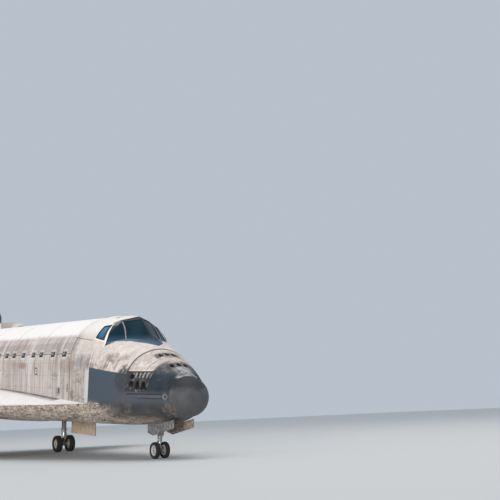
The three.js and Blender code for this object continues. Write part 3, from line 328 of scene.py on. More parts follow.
    # Dark tiles of the nose and lower body
    belly, lines = belly_colour(paint, mottle)
    low_nose = paint.coats(
        paint.blend(mottle.rise(0.35, 0.75), (68, 67, 68), (50, 50, 54)),
        (grime.rise(0.5, 0.7) * 0.6, (124, 114, 106)),
        (s.fall(280, 298) * soot.rise(0.42, 0.58) * 0.6, (136, 126, 118)),
        (streak.rise(0.55, 0.8) * 0.4, (46, 45, 48)),
    )
    worn = most(s.rise(380, 470) * w.fall(308, 324), s.rise(440, 500), s.rise(290, 340) * w.fall(286, 304) * 0.7)
    panel = paint.blend(fine, (74, 86, 99), (65, 76, 88))
    panel = paint.blend(s.fall(376, 424) * grime.rise(0.4, 0.62) * 0.7, panel, (88, 82, 80))
    deep = paint.coats(
        paint.blend(mottle.rise(0.4, 0.66), (20, 34, 46), (40, 48, 58)),
        (w.fall(338, 352) * 0.8, (80, 84, 92)),
        (grime.rise(0.5, 0.64) * s.fall(296, 312) * 0.6, (112, 106, 102)),
    )
    upper = paint.blend(s.rise(320, 350), deep, panel)
    dark = paint.blend((w + edge * 0.3).rise(316, 330), paint.blend(worn, low_nose, belly), upper)
    slope = 379 + (s - 379) * 0.116
    roof = slope * s.rise(371, 372) + 345 * s.fall(371, 372) * s.rise(321, 324) + 392 * s.fall(321, 324)
    ahead = (s + (w - 392) * 0.058).fall(490.5, 491.5)
    lowest = 316.5 - s.rise(990, 1180) * 30
    is_dark = ((w - roof).fall(-0.5, 0.5) * ahead).high((w - lowest).fall(-1, 1))

    # Sooty fabric round the thrusters
    jets_patch = s.near(348, 26, 4) * w.near(364, 18.5, 1.5)
    teeth = w.near(376.5, 4, 2) * s.lines(8, 1.3, 0.8) * s.fall(358, 361) * (0.25 + fine.rise(0.4, 0.6) * 0.5)
    dirty = paint.coats(
        paint.blend(soot.rise(0.36, 0.5), (108, 104, 102), (48, 48, 52)),
        (soot.fall(0.34, 0.4) * 0.7, (186, 180, 175)),
        (teeth, (196, 190, 184)),
        (s.rise(360, 372) * 0.7, (54, 54, 59)),
    )
    apron = (s + (soot - 0.5) * 16).fall(320, 327) * w.rise(374, 387)
    ash = paint.blend(soot.rise(0.4, 0.6), (104, 103, 106), (62, 63, 68))
    ash = paint.blend(out.fall(8, 24) * soot.rise(0.38, 0.52) * 0.8, ash, (196, 193, 190))
    round_jets = out.fall(24, 30) * w.rise(388, 390) * soot.rise(0.3, 0.5) * 0.8
    tip = (s + out * 0.5).fall(284, 292) * w.rise(368, 373) * (0.25 + soot.rise(0.4, 0.54) * 0.75) * out.fall(22, 28)
    lid = s.fall(279, 286) * w.fall(368, 373) * w.rise(340, 352) * out.fall(36, 46)
    colour = paint.coats(
        white,
        (is_dark, dark),
        (jets_patch, dirty),
        (w.rise(385, 388) * s.fall(371, 375) * soot.rise(0.36, 0.6) * 0.4, (128, 118, 112)),
        (paint.spot(384, 368, 22, 28) * soot.rise(0.32, 0.5) * 0.85, (58, 60, 66)),
        (apron * 0.92, ash),
        *((s.near(station, 7.5, 2) * round_jets, (70, 64, 64)) for station in (306.7, 350.9)),
        (tip * 0.8, (176, 176, 178)),
        (lid * 0.92, (25, 29, 36)),
    )

    # Seams and the small port of the nose
    nose_seams = most(
        s.near(375.2, 1.4, 1.2) * w.rise(382, 384),
        s.near(337, 0.6, 0.8) * w.rise(384, 388) * 0.6,
        w.near(341, 1.0, 1.0) * s.near(322, 48, 2) * 0.9,
        w.near(333, 0.7, 0.8) * s.near(308, 34, 2) * 0.8,
        w.near(383.4, 0.8, 0.6) * s.near(348, 26, 2),
    )
    pale_lines = (w.near(337, 1.6, 1) * s.near(308, 34, 2) * 0.5).high(s.near(371.5, 1.2, 1) * w.rise(384, 390) * 0.7)
    colour = paint.coats(
        paint.wear(colour, nose_seams, 0.8),
        (pale_lines * soot.rise(0.35, 0.55) * 0.3, (140, 138, 140)),
        (paint.spot(281, 337, 6, 7) * out.rise(30, 34) * 0.5, (150, 146, 142)),
        (paint.spot(280, 337, 2.6, 2.8) * out.rise(30, 34), (26, 26, 28)),
    )

    # Black surround of the windows, with a sky-blue sheen along its lower edge
    above = w - (433.5 + out * 0.3).low(444.2).low(473 - out * 0.5)
    inside = (471 + out * 0.58).low(532.2 - out * 0.76) - s
    surround = above.rise(-0.4, 0.4) * inside.rise(-0.4, 0.4) * s.rise(377, 378)
    corner = (out - 33 - (486 - w) * 0.1).rise(0, 3) * (w + (s - 490) * 0.2).rise(475, 478)
    black = paint.coats(
        paint.blend(mottle, (20, 32, 42), (34, 50, 60)),
        (above.fall(4, 13) * out.fall(62, 76) * 0.9, paint.blend(out.rise(8, 44), (54, 86, 114), (90, 116, 134))),
        (corner * 0.75, paint.blend(soot, (176, 178, 178), (84, 92, 98))),
    )
    rim = inside.near(-2.0, 1.2, 0.6) * w.rise(430, 436) * w.fall(470, 480) * out.rise(30, 38)
    seal, edging = (pane_area(s, w, margin) * out.rise(40, 52) for margin in (3.2, 5.6))
    colour = paint.coats(
        colour,
        (surround, black),
        (rim * 0.8, (246, 246, 244)),
        # White edge and dark seal of the aft side pane
        (edging * 0.8, (244, 244, 242)),
        (seal * 0.95, (22, 34, 44)),
    )

    rough = 0.86 - surround * 0.3 - is_dark * 0.16 + fine * 0.08
    height = fine * 0.5 - seams * 0.6 - big * 1.6 - lines * is_dark * 0.6 - nose_seams * 2
    return paint.finish(colour, rough, bump=height, depth=0.004)


def plain_finish(name, first, second, rough, metal=0.0, scale=0.4, seam=None):
    """Two shades of one finish, mottled, with soft wear and a fine grain."""
    paint = Paint(name)
    mottle = paint.noise(scale=scale, detail=5, rough=0.62, warp=0.2)
    grain = paint.noise(scale=scale * 9, detail=3, rough=0.6)
    colour = paint.blend(mottle.rise(0.32, 0.7), first, second)
    height = grain * 0.6 + mottle * 0.4
    if seam:
        marks = paint.s.lines(seam, 0.25, 0.5)
        colour = paint.wear(colour, marks, 0.5)
        height = height - marks * 2
    return paint.finish(colour, rough + (grain - 0.5) * 0.14, metal, height, 0.001)


def two_faced(paint, white, under, seams, fine, mottle):
    """White above and dark tiles below."""
    belly, lines = belly_colour(paint, mottle)
    colour = paint.blend(under, white, belly)
    height = fine * 0.5 - seams - lines * under * 0.6
    return paint.finish(colour, 0.84 - under * 0.16 + fine * 0.08, bump=height, depth=0.004)


def wing_skin():
    """White above, with a grey band along the leading edge, and dark tiles below the chine."""
    paint = Paint("wing_skin")
    s, w, out = paint.s, paint.w, paint.out
    mottle, fine = paint.mottle(0.04), paint.grain()
    streak = paint.stretched("sbw", (0.012, 0.14, 0.01))
    seams = s.lines(40, 0.35, 0.6).high(paint.b.lines(38, 0.35, 0.6))
    outboard = (s - 1018 - (out - 182)).fall(26, 30) * out.rise(182, 184)
    inboard = (s - 532 - (out - 105) * 6.3).fall(-20, 30) * out.fall(182, 184) * s.rise(700, 760)
    white = paint.coats(
        paint.blend(mottle, (250, 246, 242), (236, 230, 226)),
        (streak.rise(0.5, 0.75) * s.rise(900, 1200) * 0.4, (150, 138, 131)),
    )
    white = paint.wear(white, seams, 0.2)
    white = paint.blend(outboard + inboard, white, paint.blend(fine, (120, 122, 124), (88, 90, 94)))
    chine = 321.8 - (s - 450).high(0.0) * 0.0445
    under = (w - chine.high(292.5)).fall(-0.8, 0.2)
    return two_faced(paint, white, under, seams * 0.6, fine, mottle)


def control_skin():
    """Moving surfaces: white above with a dark edge behind, dark tiles below."""
    paint = Paint("control_skin")
    s, w, out = paint.s, paint.w, paint.out
    mottle, fine = paint.mottle(), paint.grain()
    seams = paint.b.lines(24, 0.35, 0.6)
    white = paint.wear(paint.blend(mottle, (232, 226, 221), (204, 196, 190)), seams, 0.3)
    white = paint.blend((s + (out - 105) * 0.178).rise(1494, 1497), white, (70, 70, 74))
    middle = 281 + (out - 105) * 0.0368 - (s - 1387) * 0.105
    return two_faced(paint, white, (w - middle).fall(-1.5, 1.5), seams, fine, mottle)


def tail_skin():
    """Fin, rudder and pods: white, with a dark leading edge and a sooty rear."""
    paint = Paint("tail_skin")
    s, w, out = paint.s, paint.w, paint.out
    mottle, fine = paint.mottle(), paint.grain()
    streak = paint.stretched("sbw", (0.09, 0.02, 0.02))
    seams = (s - w * 0.5).lines(30, 0.35, 0.6).high(w.lines(26, 0.35, 0.6))
    white = paint.blend(mottle, (228, 223, 219), (198, 192, 188))
    white = paint.blend(streak.rise(0.5, 0.75) * 0.4, white, (146, 136, 130))
    middle = out.fall(20, 22)
    lead = (s - 1276.8 - (w - 500)).fall(17, 20) * w.rise(498, 501) * middle
    rear = (s - 1545.3 - (w - 500) * 0.493).rise(-16, -13) * w.rise(528, 532) * middle
    pod_nose = (s + (w - 478) * 0.25).fall(1332, 1337) * out.rise(30, 34)
    white = paint.coats(
        paint.wear(white, seams, 0.25),
        (lead, (60, 70, 84)),
        (rear, (92, 92, 96)),
        (w.rise(806, 808), (84, 92, 104)),
        (pod_nose * 0.75, (112, 114, 118)),
        (s.rise(1500, 1545) * out.rise(24, 30) * mottle.rise(0.35, 0.6) * 0.6, (96, 86, 80)),
    )
    return paint.finish(white, 0.82 + fine * 0.1, bump=fine * 0.5 - seams, depth=0.004)


def glass_finish():
    """Dark panes, with a painted reflection of the blue sky low down and in the aft side panes."""
    paint = Paint("window_glass")
    w, out = paint.w, paint.out
    aft = paint.s.rise(484, 488) * w.fall(480, 484) * out.rise(40, 52)
    colour = paint.coats(
        paint.blend(paint.noise(scale=0.02, detail=3).rise(0.35, 0.65), (16, 40, 52), (24, 52, 64)),
        # Painted reflection: sky blue low down on the panes and over the aft side panes
        (w.fall(446, 460) * 0.5, (60, 96, 122)),
        (aft, paint.blend(w.rise(450, 476), (56, 104, 142), (86, 128, 156))),
        (paint.b.near(1, 2.5, 1.5) * w.near(468, 7, 3) * 0.5, (150, 120, 118)),
    )
    dust = paint.noise(scale=0.5, detail=3)
    return paint.finish(colour, 0.26 + dust * 0.08, **{"Specular IOR Level": 0.05})


def radiator_finish():
    """Silver panels with fine tubes along them and panel joints."""
    paint = Paint("radiator_silver")
    mottle = paint.noise(scale=0.06, detail=4)
    tubes = paint.w.lines(1.9, 0.12, 0.3)
    joints = paint.s.lines(174, 1.0, 0.6)
    colour = paint.blend(mottle, (206, 210, 214), (178, 184, 190))
    colour = paint.wear(colour, tubes * 0.35 + joints, 0.6)
    return paint.finish(colour, 0.24 + mottle * 0.12, 0.75, tubes * -0.6 - joints * 2, 0.003)


def bell_finish():
    """Bare engine metal, blued and browned by heat towards the rim."""
    paint = Paint("engine_metal")
    mottle = paint.noise(scale=0.12, detail=5, rough=0.65)
    heat = (paint.s + (mottle - 0.5) * 30).rise(1530, 1620)
    colour = paint.blend(heat, (150, 146, 140), (104, 88, 76))
    colour = paint.blend(mottle.rise(0.5, 0.72) * 0.5, colour, (84, 80, 84))
    return paint.finish(colour, 0.42 + mottle * 0.2, 0.8, mottle, 0.003)


def base_finish():
    """Dark tiles of the base, sooty round the engines."""
    paint = Paint("base_tiles")
    b, w = paint.b, paint.w
    tint = paint.speckle(paint.vector((b / TILE).floor(), (w / TILE).floor(), 0.0))
    lines = b.lines(TILE, 0.12, 0.2).high(w.lines(TILE, 0.12, 0.2))
    mottle = paint.noise(scale=0.06, detail=5, rough=0.6)
    colour = paint.blend(mottle.rise(0.4, 0.7), (52, 50, 50), (96, 88, 82))
    colour = paint.wear(paint.blend(tint * 0.3, colour, (34, 33, 34)), lines, 0.6)
    return paint.finish(colour, 0.8, bump=mottle * 0.5 - lines, depth=0.003)


def tyre_finish():
    """Worn black rubber."""
    paint = Paint("tyre_rubber")
    mottle = paint.noise(scale=0.5, detail=5, rough=0.7)
    fine = paint.noise(scale=4, detail=3)
    colour = paint.blend(mottle.rise(0.4, 0.75), (34, 34, 36), (62, 59, 57))
    return paint.finish(colour, 0.82 + fine * 0.12, bump=fine + mottle * 0.5, depth=0.0012)


def carbon_finish():
    """Smooth grey nose cap and wing leading edge. The top of the cap is dark, its rim rusty."""
    paint = Paint("carbon_grey")
    s, w = paint.s, paint.w
    mottle = paint.noise(scale=0.07, detail=5, rough=0.6, warp=0.2)
    fine = paint.noise(scale=0.8, detail=3)
    front = s.fall(300, 310)
    lid = (w + (mottle - 0.5) * 16).rise(344, 360) * front
    panels = paint.out.lines(16.25, 0.3, 0.4) * s.rise(500, 520)
    colour = paint.coats(
        paint.blend(mottle.rise(0.2, 0.8), (82, 82, 83), (68, 70, 74)),
        (lid * 0.95, (24, 27, 34)),
        (s.rise(250, 268) * front * mottle.rise(0.45, 0.65) * (1 - lid) * 0.6, (120, 110, 104)),
    )
    colour = paint.wear(colour, panels, 0.55)
    return paint.finish(colour, 0.52 + mottle * 0.14, bump=fine * 0.4 - panels, depth=0.002)


BODY, WING, CONTROL, TAIL = weathered_body(), wing_skin(), control_skin(), tail_skin()
GLASS, RADIATOR, BELL, BASE = glass_finish(), radiator_finish(), bell_finish(), base_finish()
TYRE, CARBON = tyre_finish(), carbon_finish()
PLAIN = {
    # name: first shade, second shade, roughness, metal, scale of the mottle, pitch of the seams
    "thruster_soot": ((18, 17, 17), (32, 29, 28), 0.7),
    "gear_metal": ((176, 176, 172), (128, 124, 118), 0.42, 0.35),
    "polished_steel": ((198, 198, 196), (160, 160, 160), 0.22, 0.9),
    "rim_grey": ((216, 216, 212), (180, 178, 174), 0.5, 0.1, 0.6),
    "hub_dark": ((62, 60, 58), (92, 88, 84), 0.55, 0.4, 0.6),
    "tile_grey": ((146, 145, 146), (98, 96, 96), 0.75, 0.0, 0.12, 6),
    "door_liner": ((196, 180, 164), (128, 108, 96), 0.72, 0.1, 0.2),
    # Painted light: the main gear doors' liner is brighter than the real liner, standing in for low sunlight on their
    # inner faces
    "main_door_liner": ((255, 240, 220), (240, 216, 192), 0.75, 0.0, 0.1),
    "well_lining": ((168, 170, 160), (122, 122, 114), 0.6, 0.2, 0.15, 14),
    "window_frame": ((186, 190, 192), (150, 158, 164), 0.5, 0.1, 0.5),
    "cabin_grey": ((140, 144, 144), (110, 114, 116), 0.6, 0.1, 0.3),
    "bay_lining": ((226, 224, 216), (196, 194, 186), 0.8, 0.0, 0.06, 58),
    "bay_frames": ((158, 166, 140), (128, 136, 112), 0.55, 0.3, 0.1),
    "dark_hose": ((40, 40, 42), (58, 56, 54), 0.6, 0.0, 0.6),
}
(
    SOOT, GEAR, STEEL, RIM, HUB, TILE_GREY, DOOR_LINER, MAIN_DOOR_PAINTED_LIGHT, WELL, FRAME_GREY, CABIN, LINER, BAY_FRAME, HOSE
) = (plain_finish(name, *values) for name, values in PLAIN.items())


# Modelling

MIRROR = Matrix.Scale(-1, 4, (1, 0, 0))


def pick(*things):
    bpy.ops.object.select_all(action="DESELECT")
    for thing in things:
        thing.select_set(True)
    bpy.context.view_layer.objects.active = things[-1]


def named(thing, name):
    thing.name = thing.data.name = name
    return thing


def start(name, add, **settings):
    """A primitive by itself, with its size and place in its mesh."""
    bpy.ops.object.select_all(action="DESELECT")
    add(**settings)
    bpy.ops.object.transform_apply(location=True, rotation=True, scale=True)
    return named(bpy.context.object, name)


def apply(thing, kind, **settings):
    modifier = thing.modifiers.new(kind.title(), kind)
    for key, value in settings.items():
        setattr(modifier, key, value)
    pick(thing)
    bpy.ops.object.modifier_apply(modifier=modifier.name)
    return thing


def soften(thing, width, angle=30):
    """Rounds the edges that turn by more than an angle."""
    if width:
        limits = {"limit_method": "ANGLE", "angle_limit": math.radians(angle)}
        apply(thing, "BEVEL", width=width, segments=2, **limits)
    return thing


def edit(thing, *steps):
    """Runs edit mode steps on the whole of a mesh."""
    pick(thing)
    bpy.ops.object.mode_set(mode="EDIT")
    bpy.ops.mesh.select_all(action="SELECT")
    for step, settings in steps:
        step(**settings)
    bpy.ops.object.mode_set(mode="OBJECT")
    return thing


MERGE = (bpy.ops.mesh.remove_doubles, {"threshold": 1e-3})
SELECT = (bpy.ops.mesh.select_all, {"action": "SELECT"})
OUTWARD = (bpy.ops.mesh.normals_make_consistent, {"inside": False})


def smooth(thing, angle=35):
    pick(thing)
    bpy.ops.object.shade_smooth_by_angle(angle=math.radians(angle), keep_sharp_edges=False)
    return thing


def coat(thing, material):
    thing.data.materials.clear()
    thing.data.materials.append(material)
    return thing


def copied(thing, matrix):
    twin = thing.copy()
    twin.data = thing.data.copy()
    bpy.context.collection.objects.link(twin)
    twin.data.transform(matrix)
    if matrix.determinant() < 0:
        twin.data.flip_normals()
    return twin


def joined(name, things):
    pick(*things)
    if len(things) > 1:
        bpy.ops.object.join()
    return named(bpy.context.object, name)


def cut(thing, cutters, operation="DIFFERENCE"):
    """Cuts a mesh with others, which leave their own material on the cut faces."""
    tool = joined("cutter", cutters)
    settings = {"solver": "EXACT", "material_mode": "TRANSFER", "use_self": len(cutters) > 1}
    apply(thing, "BOOLEAN", object=tool, operation=operation, **settings)
    bpy.data.objects.remove(tool)
    return thing


def block(name, b, s, w, bevel=0.0):
    """A block between two buttlines, stations and waterlines, with softened edges."""
    middle = [(low + high) / 2 for low, high in (b, s, w)]
    size = [high - low for low, high in (b, s, w)]
    return soften(start(name, bpy.ops.mesh.primitive_cube_add, size=1, location=middle, scale=size), bevel)


def slab(name, axis, outline, low, high, bevel=0.0):
    """An outline drawn across an axis and pulled along it: its points are [s, w], [b, w] or [b, s]."""
    thing = start(name, bpy.ops.mesh.primitive_circle_add, vertices=len(outline), radius=1, fill_type="NGON")
    k = "bsw".index(axis)
    for vertex, point in zip(thing.data.vertices, outline):
        vertex.co = (*point[:k], low, *point[k:])
    step = [0, 0, 0]
    step[k] = high - low
    edit(thing, (bpy.ops.mesh.extrude_region_move, {"TRANSFORM_OT_translate": {"value": step}}), SELECT, OUTWARD)
    return soften(thing, bevel, 25)


def aim(thing, origin, towards):
    """Turns a shape made along +Z to point from an origin along a direction."""
    turn = Vector(towards).to_track_quat("Z", "Y").to_matrix().to_4x4()
    thing.data.transform(Matrix.Translation(origin) @ turn)
    return thing


def bar(name, begin, end, radius, sides=20, bevel=0.25, end_radius=None):
    """A round bar or cone between two points, with softened ends."""
    along = Vector(end) - Vector(begin)
    sizes = {"radius1": radius, "radius2": end_radius or radius, "depth": along.length}
    middle = (0, 0, along.length / 2)
    thing = start(name, bpy.ops.mesh.primitive_cone_add, vertices=sides, location=middle, **sizes)
    return aim(soften(thing, bevel, 60), begin, along)


def link(name, begin, end, wide, thick, bevel=0.3):
    """A flat arm between two points, with softened edges."""
    along = Vector(end) - Vector(begin)
    return aim(block(name, (-wide / 2, wide / 2), (-thick / 2, thick / 2), (0, along.length), bevel), begin, along)


def turned(name, profile, sides=48, closed=False):
    """A shape turned about +Z: a circle pulled out from one [radius, height] to the next."""
    (radius, height), *rest = profile
    thing = start(name, bpy.ops.mesh.primitive_circle_add, vertices=sides, radius=radius, location=(0, 0, height))
    steps = []
    for next_radius, next_height in rest + profile[:1] * closed:
        lift, scale = (0, 0, next_height - height), next_radius / radius
        grow = {"value": (scale, scale, 1), "center_override": (0, 0, next_height)}
        steps.append((bpy.ops.mesh.extrude_region_move, {"TRANSFORM_OT_translate": {"value": lift}}))
        steps.append((bpy.ops.transform.resize, grow))
        radius, height = next_radius, next_height
    edit(thing, *steps)
    return smooth(edit(thing, MERGE, OUTWARD))


def tube(name, points, radius, sides=10, closed=False):
    """A pipe along a path."""
    curve = bpy.data.curves.new(name, "CURVE")
    curve.dimensions = "3D"
    curve.bevel_depth = radius
    curve.bevel_resolution = sides // 4
    curve.use_fill_caps = not closed
    path = curve.splines.new("POLY")
    path.points.add(len(points) - 1)
    path.use_cyclic_u = closed
    for point, place in zip(path.points, points):
        point.co = (*place, 1)
    thing = bpy.data.objects.new(name, curve)
    bpy.context.collection.objects.link(thing)
    pick(thing)
    bpy.ops.object.convert(target="MESH")
    return smooth(bpy.context.object, 50)


def settle(thing, *nodes, body="airframe", slot="white_surface"):
    """Lets a piece ride on its body and stand for solids."""
    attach(thing, body)
    if nodes:
        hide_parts(*nodes)
    return thing


def mount(thing, *nodes, **place):
    """Stands a finished piece with the airframe and settles it."""
    thing.data.transform(STAND)
    return settle(thing, *nodes, **place)


def dress(node, material, angle=35, slot="white_surface"):
    """A merged and smoothed copy of a solid, which stands for it."""
    skin = copied(frame["nodes"][node], Matrix.Identity(4))
    skin.parent = None
    skin.matrix_world = Matrix.Identity(4)
    edit(named(skin, f"{node}_skin"), (bpy.ops.mesh.remove_doubles, {"threshold": 1e-5}))
    apply(smooth(skin, angle), "WEIGHTED_NORMAL", keep_sharp=True, weight=60)
    return settle(coat(skin, material), node, body=BODY_OF[node], slot=slot)


def repaint(thing, material, test):
    """Gives another material to the faces whose middle and normal pass a test, in craft inches."""
    thing.data.materials.append(material)
    back = STAND.inverted()
    turn = back.to_3x3().normalized()
    for polygon in thing.data.polygons:
        if test(back @ polygon.center, (turn @ polygon.normal).normalized()):
            polygon.material_index = len(thing.data.materials) - 1


# Body sections

FUSELAGE = [
    # station, half width, bottom, corner width, corner height, shoulder, top, hump top, hump power
    (272, 41, 299, 41, 39, 338, 375, 375, 2),
    (285, 46.5, 295, 44, 40, 341, 384.5, 384.5, 2),
    (300, 52, 291.5, 45, 41, 345, 393, 393, 2),
    (325, 62, 287, 46, 41, 349, 405, 405, 2),
    (350, 71.5, 283.5, 46, 41, 353, 415.5, 415.5, 2),
    (375, 80, 281, 46, 40, 357, 427, 427, 2),
    (395, 85.5, 279.8, 45.5, 39, 362, 436, 441, 1.5),
    (424, 92.5, 279, 43, 38, 369, 445, 467, 1.06),
    (450, 97.3, 278.7, 41, 37, 375, 455, 488, 1.12),
    (464, 99.3, 278.5, 40.5, 36.5, 378, 461, 495, 1.28),
    (481, 101.3, 278.2, 40, 36, 381, 469, 498.5, 1.5),
    (491, 102.2, 278, 39, 36, 384, 476, 499.5, 1.7),
    (510, 103.4, 277.7, 38, 36, 388, 485, 500, 1.92),
    (540, 104.4, 277, 38, 36, 392, 500, 500, 2),
    (582, 105, 276, 40, 36, 395, 500, 500, 2),
    (640, 105, 274.2, 44, 34, 395, 500, 500, 2),
]
CAP_BASE, CAP_TIP, CAP_TIP_WATERLINE, CAP_MIDDLE = 272, 235, 333, 338
NOSE_BREAK, CABIN_END = 397, 582
RING = 144
GAP = 0.012


def sizes_at(station):
    """The section's sizes at a station, on a smooth curve through the table's rows."""
    rows = FUSELAGE
    i = max(k for k in range(len(rows) - 1) if rows[k][0] <= max(station, rows[0][0]))
    before, row, after, later = rows[max(i - 1, 0)], rows[i], rows[i + 1], rows[min(i + 2, len(rows) - 1)]
    span = after[0] - row[0]
    t = (station - row[0]) / span
    weights = (2 * t**3 - 3 * t**2 + 1, t**3 - 2 * t**2 + t, -2 * t**3 + 3 * t**2, t**3 - t**2)
    values = []
    for k in range(1, 9):
        lead = (after[k] - before[k]) / (after[0] - before[0]) * span
        trail = (later[k] - row[k]) / (later[0] - row[0]) * span
        values.append(sum(h * value for h, value in zip(weights, (row[k], lead, after[k], trail))))
    return values


def half_section(station, t, inset=0.0):
    """A point of the left half, from the keel at t = 0 to the crown at t = 1."""
    half, bottom, corner, height, shoulder, top, hump, power = sizes_at(station)
    if t <= 0.14:
        return (half - corner) * t / 0.14, bottom + inset
    if t <= 0.34:
        angle = (t - 0.14) / 0.2 * math.pi / 2
        reach, rise = max(corner - inset, 0.1), max(height - inset, 0.1)
        return half - corner + reach * math.sin(angle), bottom + height - rise * math.cos(angle)
    if t <= 0.42:
        return half - inset, bottom + height + (shoulder - bottom - height) * (t - 0.34) / 0.08
    angle = min((t - 0.42) / 0.58 * math.pi / 2, math.pi / 2 - 1e-9)

    def reach_of(lift, curve):
        return ((math.cos(angle) / half) ** curve + (math.sin(angle) / lift) ** curve) ** (-1 / curve)

    body = reach_of(top - shoulder, 2)
    over = reach_of(max(hump, top) - shoulder, max(power, 1.0)) - body
    reach = body + (over + math.sqrt(over * over + 0.36)) / 2 - 0.3 - inset
    return reach * math.cos(angle), shoulder + reach * math.sin(angle)


def section(station, around, inset=0.0):
    """A point at a turn round the body: 0 at the keel, 0.5 at the crown."""
    b, w = half_section(station, min(2 * around, 2 - 2 * around), inset)
    return (b if around <= 0.5 else -b), station, w


def cap_section(turn, around):
    """A point of the cap, from its base at turn 0 to its tip at turn 1."""
    b, _, w = section(CAP_BASE, around)
    sine, scale = math.sin(turn * math.pi / 2), math.cos(turn * math.pi / 2)
    lift = (CAP_TIP_WATERLINE - CAP_MIDDLE) * sine + (w - CAP_MIDDLE) * scale
    return b * scale, CAP_BASE - GAP - (CAP_BASE - CAP_TIP) * sine, CAP_MIDDLE + lift


def shell(name, rows, ring, place):
    """A closed skin: a grid laid round the body, with its two ends filled."""
    thing = start(name, bpy.ops.mesh.primitive_grid_add, x_subdivisions=ring, y_subdivisions=rows - 1, size=2)
    for vertex in thing.data.vertices:
        x, y, _ = vertex.co
        vertex.co = place((y + 1) / 2, (x + 1) / 2)
    edit(thing, MERGE, OUTWARD)
    return edit(
        thing,
        (bpy.ops.mesh.select_all, {"action": "DESELECT"}),
        (bpy.ops.mesh.select_mode, {"type": "EDGE"}),
        (bpy.ops.mesh.select_non_manifold, {}),
        (bpy.ops.mesh.fill_holes, {"sides": 0}),
        SELECT,
        OUTWARD,
        (bpy.ops.mesh.select_mode, {"type": "VERT"}),
    )


def body_shell(name, begin, end, rows, ring=RING, inset=0.0):
    return shell(name, rows, ring, lambda along, around: section(begin + (end - begin) * along, around, inset))


def halve(low, high, test):
    """The place between two bounds where a test stops being true."""
    for _ in range(30):
        middle = (low + high) / 2
        low, high = (middle, high) if test(middle) else (low, middle)
    return low


def crown_point(b, w):
    """The place on the crown at a buttline and waterline, found along the body."""

    def height(station):
        return half_section(station, halve(0.42, 1.0, lambda t: half_section(station, t)[0] > abs(b)))[1]

    return b, halve(398, 530, lambda station: height(station) <= w), w


def side_point(station, w):
    """The place on the left side at a station and waterline."""
    return half_section(station, halve(0.3, 1.0, lambda t: half_section(station, t)[1] < w))[0], station, w


def edge_points(corners, steps=8):
    """Points along a closed outline, evenly set on each edge."""
    ring = zip(corners, corners[1:] + corners[:1])
    return [tuple(a + (c - a) * k / steps for a, c in zip(*ends)) for ends in ring for k in range(steps)]


# Nose cap and nose

nose_cap = shell("nose_cap_skin", 22, RING, cap_section)
mount(coat(smooth(nose_cap, 40), CARBON), "nose_cap", slot="carbon")

MODULE_ROOM = ((-110, 110), (288, 375), (350, 520))


def module_room(grow):
    return [coat(block("room", *((low - grow, high + grow) for low, high in MODULE_ROOM)), BODY)]


nose = coat(body_shell("nose_fuselage_skin", CAP_BASE + 0.002, NOSE_BREAK - GAP, 56), BODY)
wheel_well = coat(block("well", (-20, 20), (285, 390), (250, 326)), WELL)
cut(nose, module_room(GAP) + [wheel_well])
mount(smooth(nose, 30), "nose_fuselage")

# Thruster module: its holes look up, ahead, to the side and down.
JETS = [
    # station, buttline, waterline, direction, half length, half width
    (360.4, 70.4, 374, (1, -0.05, 0.2), 5.2, 5.0),
    (359.6, 72.6, 361, (1, -0.05, -0.35), 5.2, 4.8),
    (344.2, 67.5, 358, (0.85, -0.05, -0.65), 8.2, 5.0),
    (330.8, 62.4, 356, (0.85, -0.05, -0.65), 9.2, 5.4),
    (346.5, 65.5, 375, (1, -0.2, 0.4), 2.4, 2.2),
    (324.4, 60.2, 352, (0.9, -0.3, -0.4), 2.6, 2.2),
    (350.9, 14.5, 413.2, (0, 0.05, 1), 5.0, 4.8),
    (306.7, 14.65, 394.5, (0, -0.75, 0.66), 6.0, 4.8),
    (350.9, 0, 415, (0, 0.05, 1), 5.0, 4.8),
    (306.7, 0, 396.2, (0, -0.75, 0.66), 6.0, 4.8),
]
JET_DEPTH, JET_PROUD, JET_THROAT, JET_MOUTH = 9, 6, 0.55, 1.15

jets = []
for station, b, w, (x, y, z), length, width in JETS:
    for side in (1, -1) if b else (1,):
        jet = start(
            "jet", bpy.ops.mesh.primitive_cone_add, vertices=28, radius1=width * JET_THROAT,
            radius2=width * JET_MOUTH, depth=JET_DEPTH + JET_PROUD, location=(0, 0, (JET_PROUD - JET_DEPTH) / 2),
        )
        jet.data.transform(Matrix.Scale(length / width, 4, (0, 1, 0)))
        jets.append(coat(aim(jet, (b * side, station, w), (x * side, y, z)), SOOT))
module = coat(body_shell("thruster_module_skin", 280, 384, 60), BODY)
cut(module, module_room(0), "INTERSECT")
cut(module, jets)
mount(smooth(module, 30), "forward_thruster_module")

# Cabin: hollow, with windows, the crew hatch's opening and a back wall.
FRONT_PANES = [
    [(2, 450), (38.5, 449.5), (30, 486), (2, 490)],
    [(41.5, 449), (71, 443), (51.5, 476), (33.5, 485)],
]
SIDE_PANE = [(487, 449.5), (504, 454), (507, 475), (495, 477)]
OVERHEAD_PANE = [(8, 505), (30, 505), (30, 527), (8, 527)]
REAR_PANE = [(10, 456), (26, 456), (26, 470), (10, 470)]
FRONT_REACH, SIDE_REACH = (400, 484), (40, 110)
HATCH_STATION, HATCH_WATERLINE = 462, 385

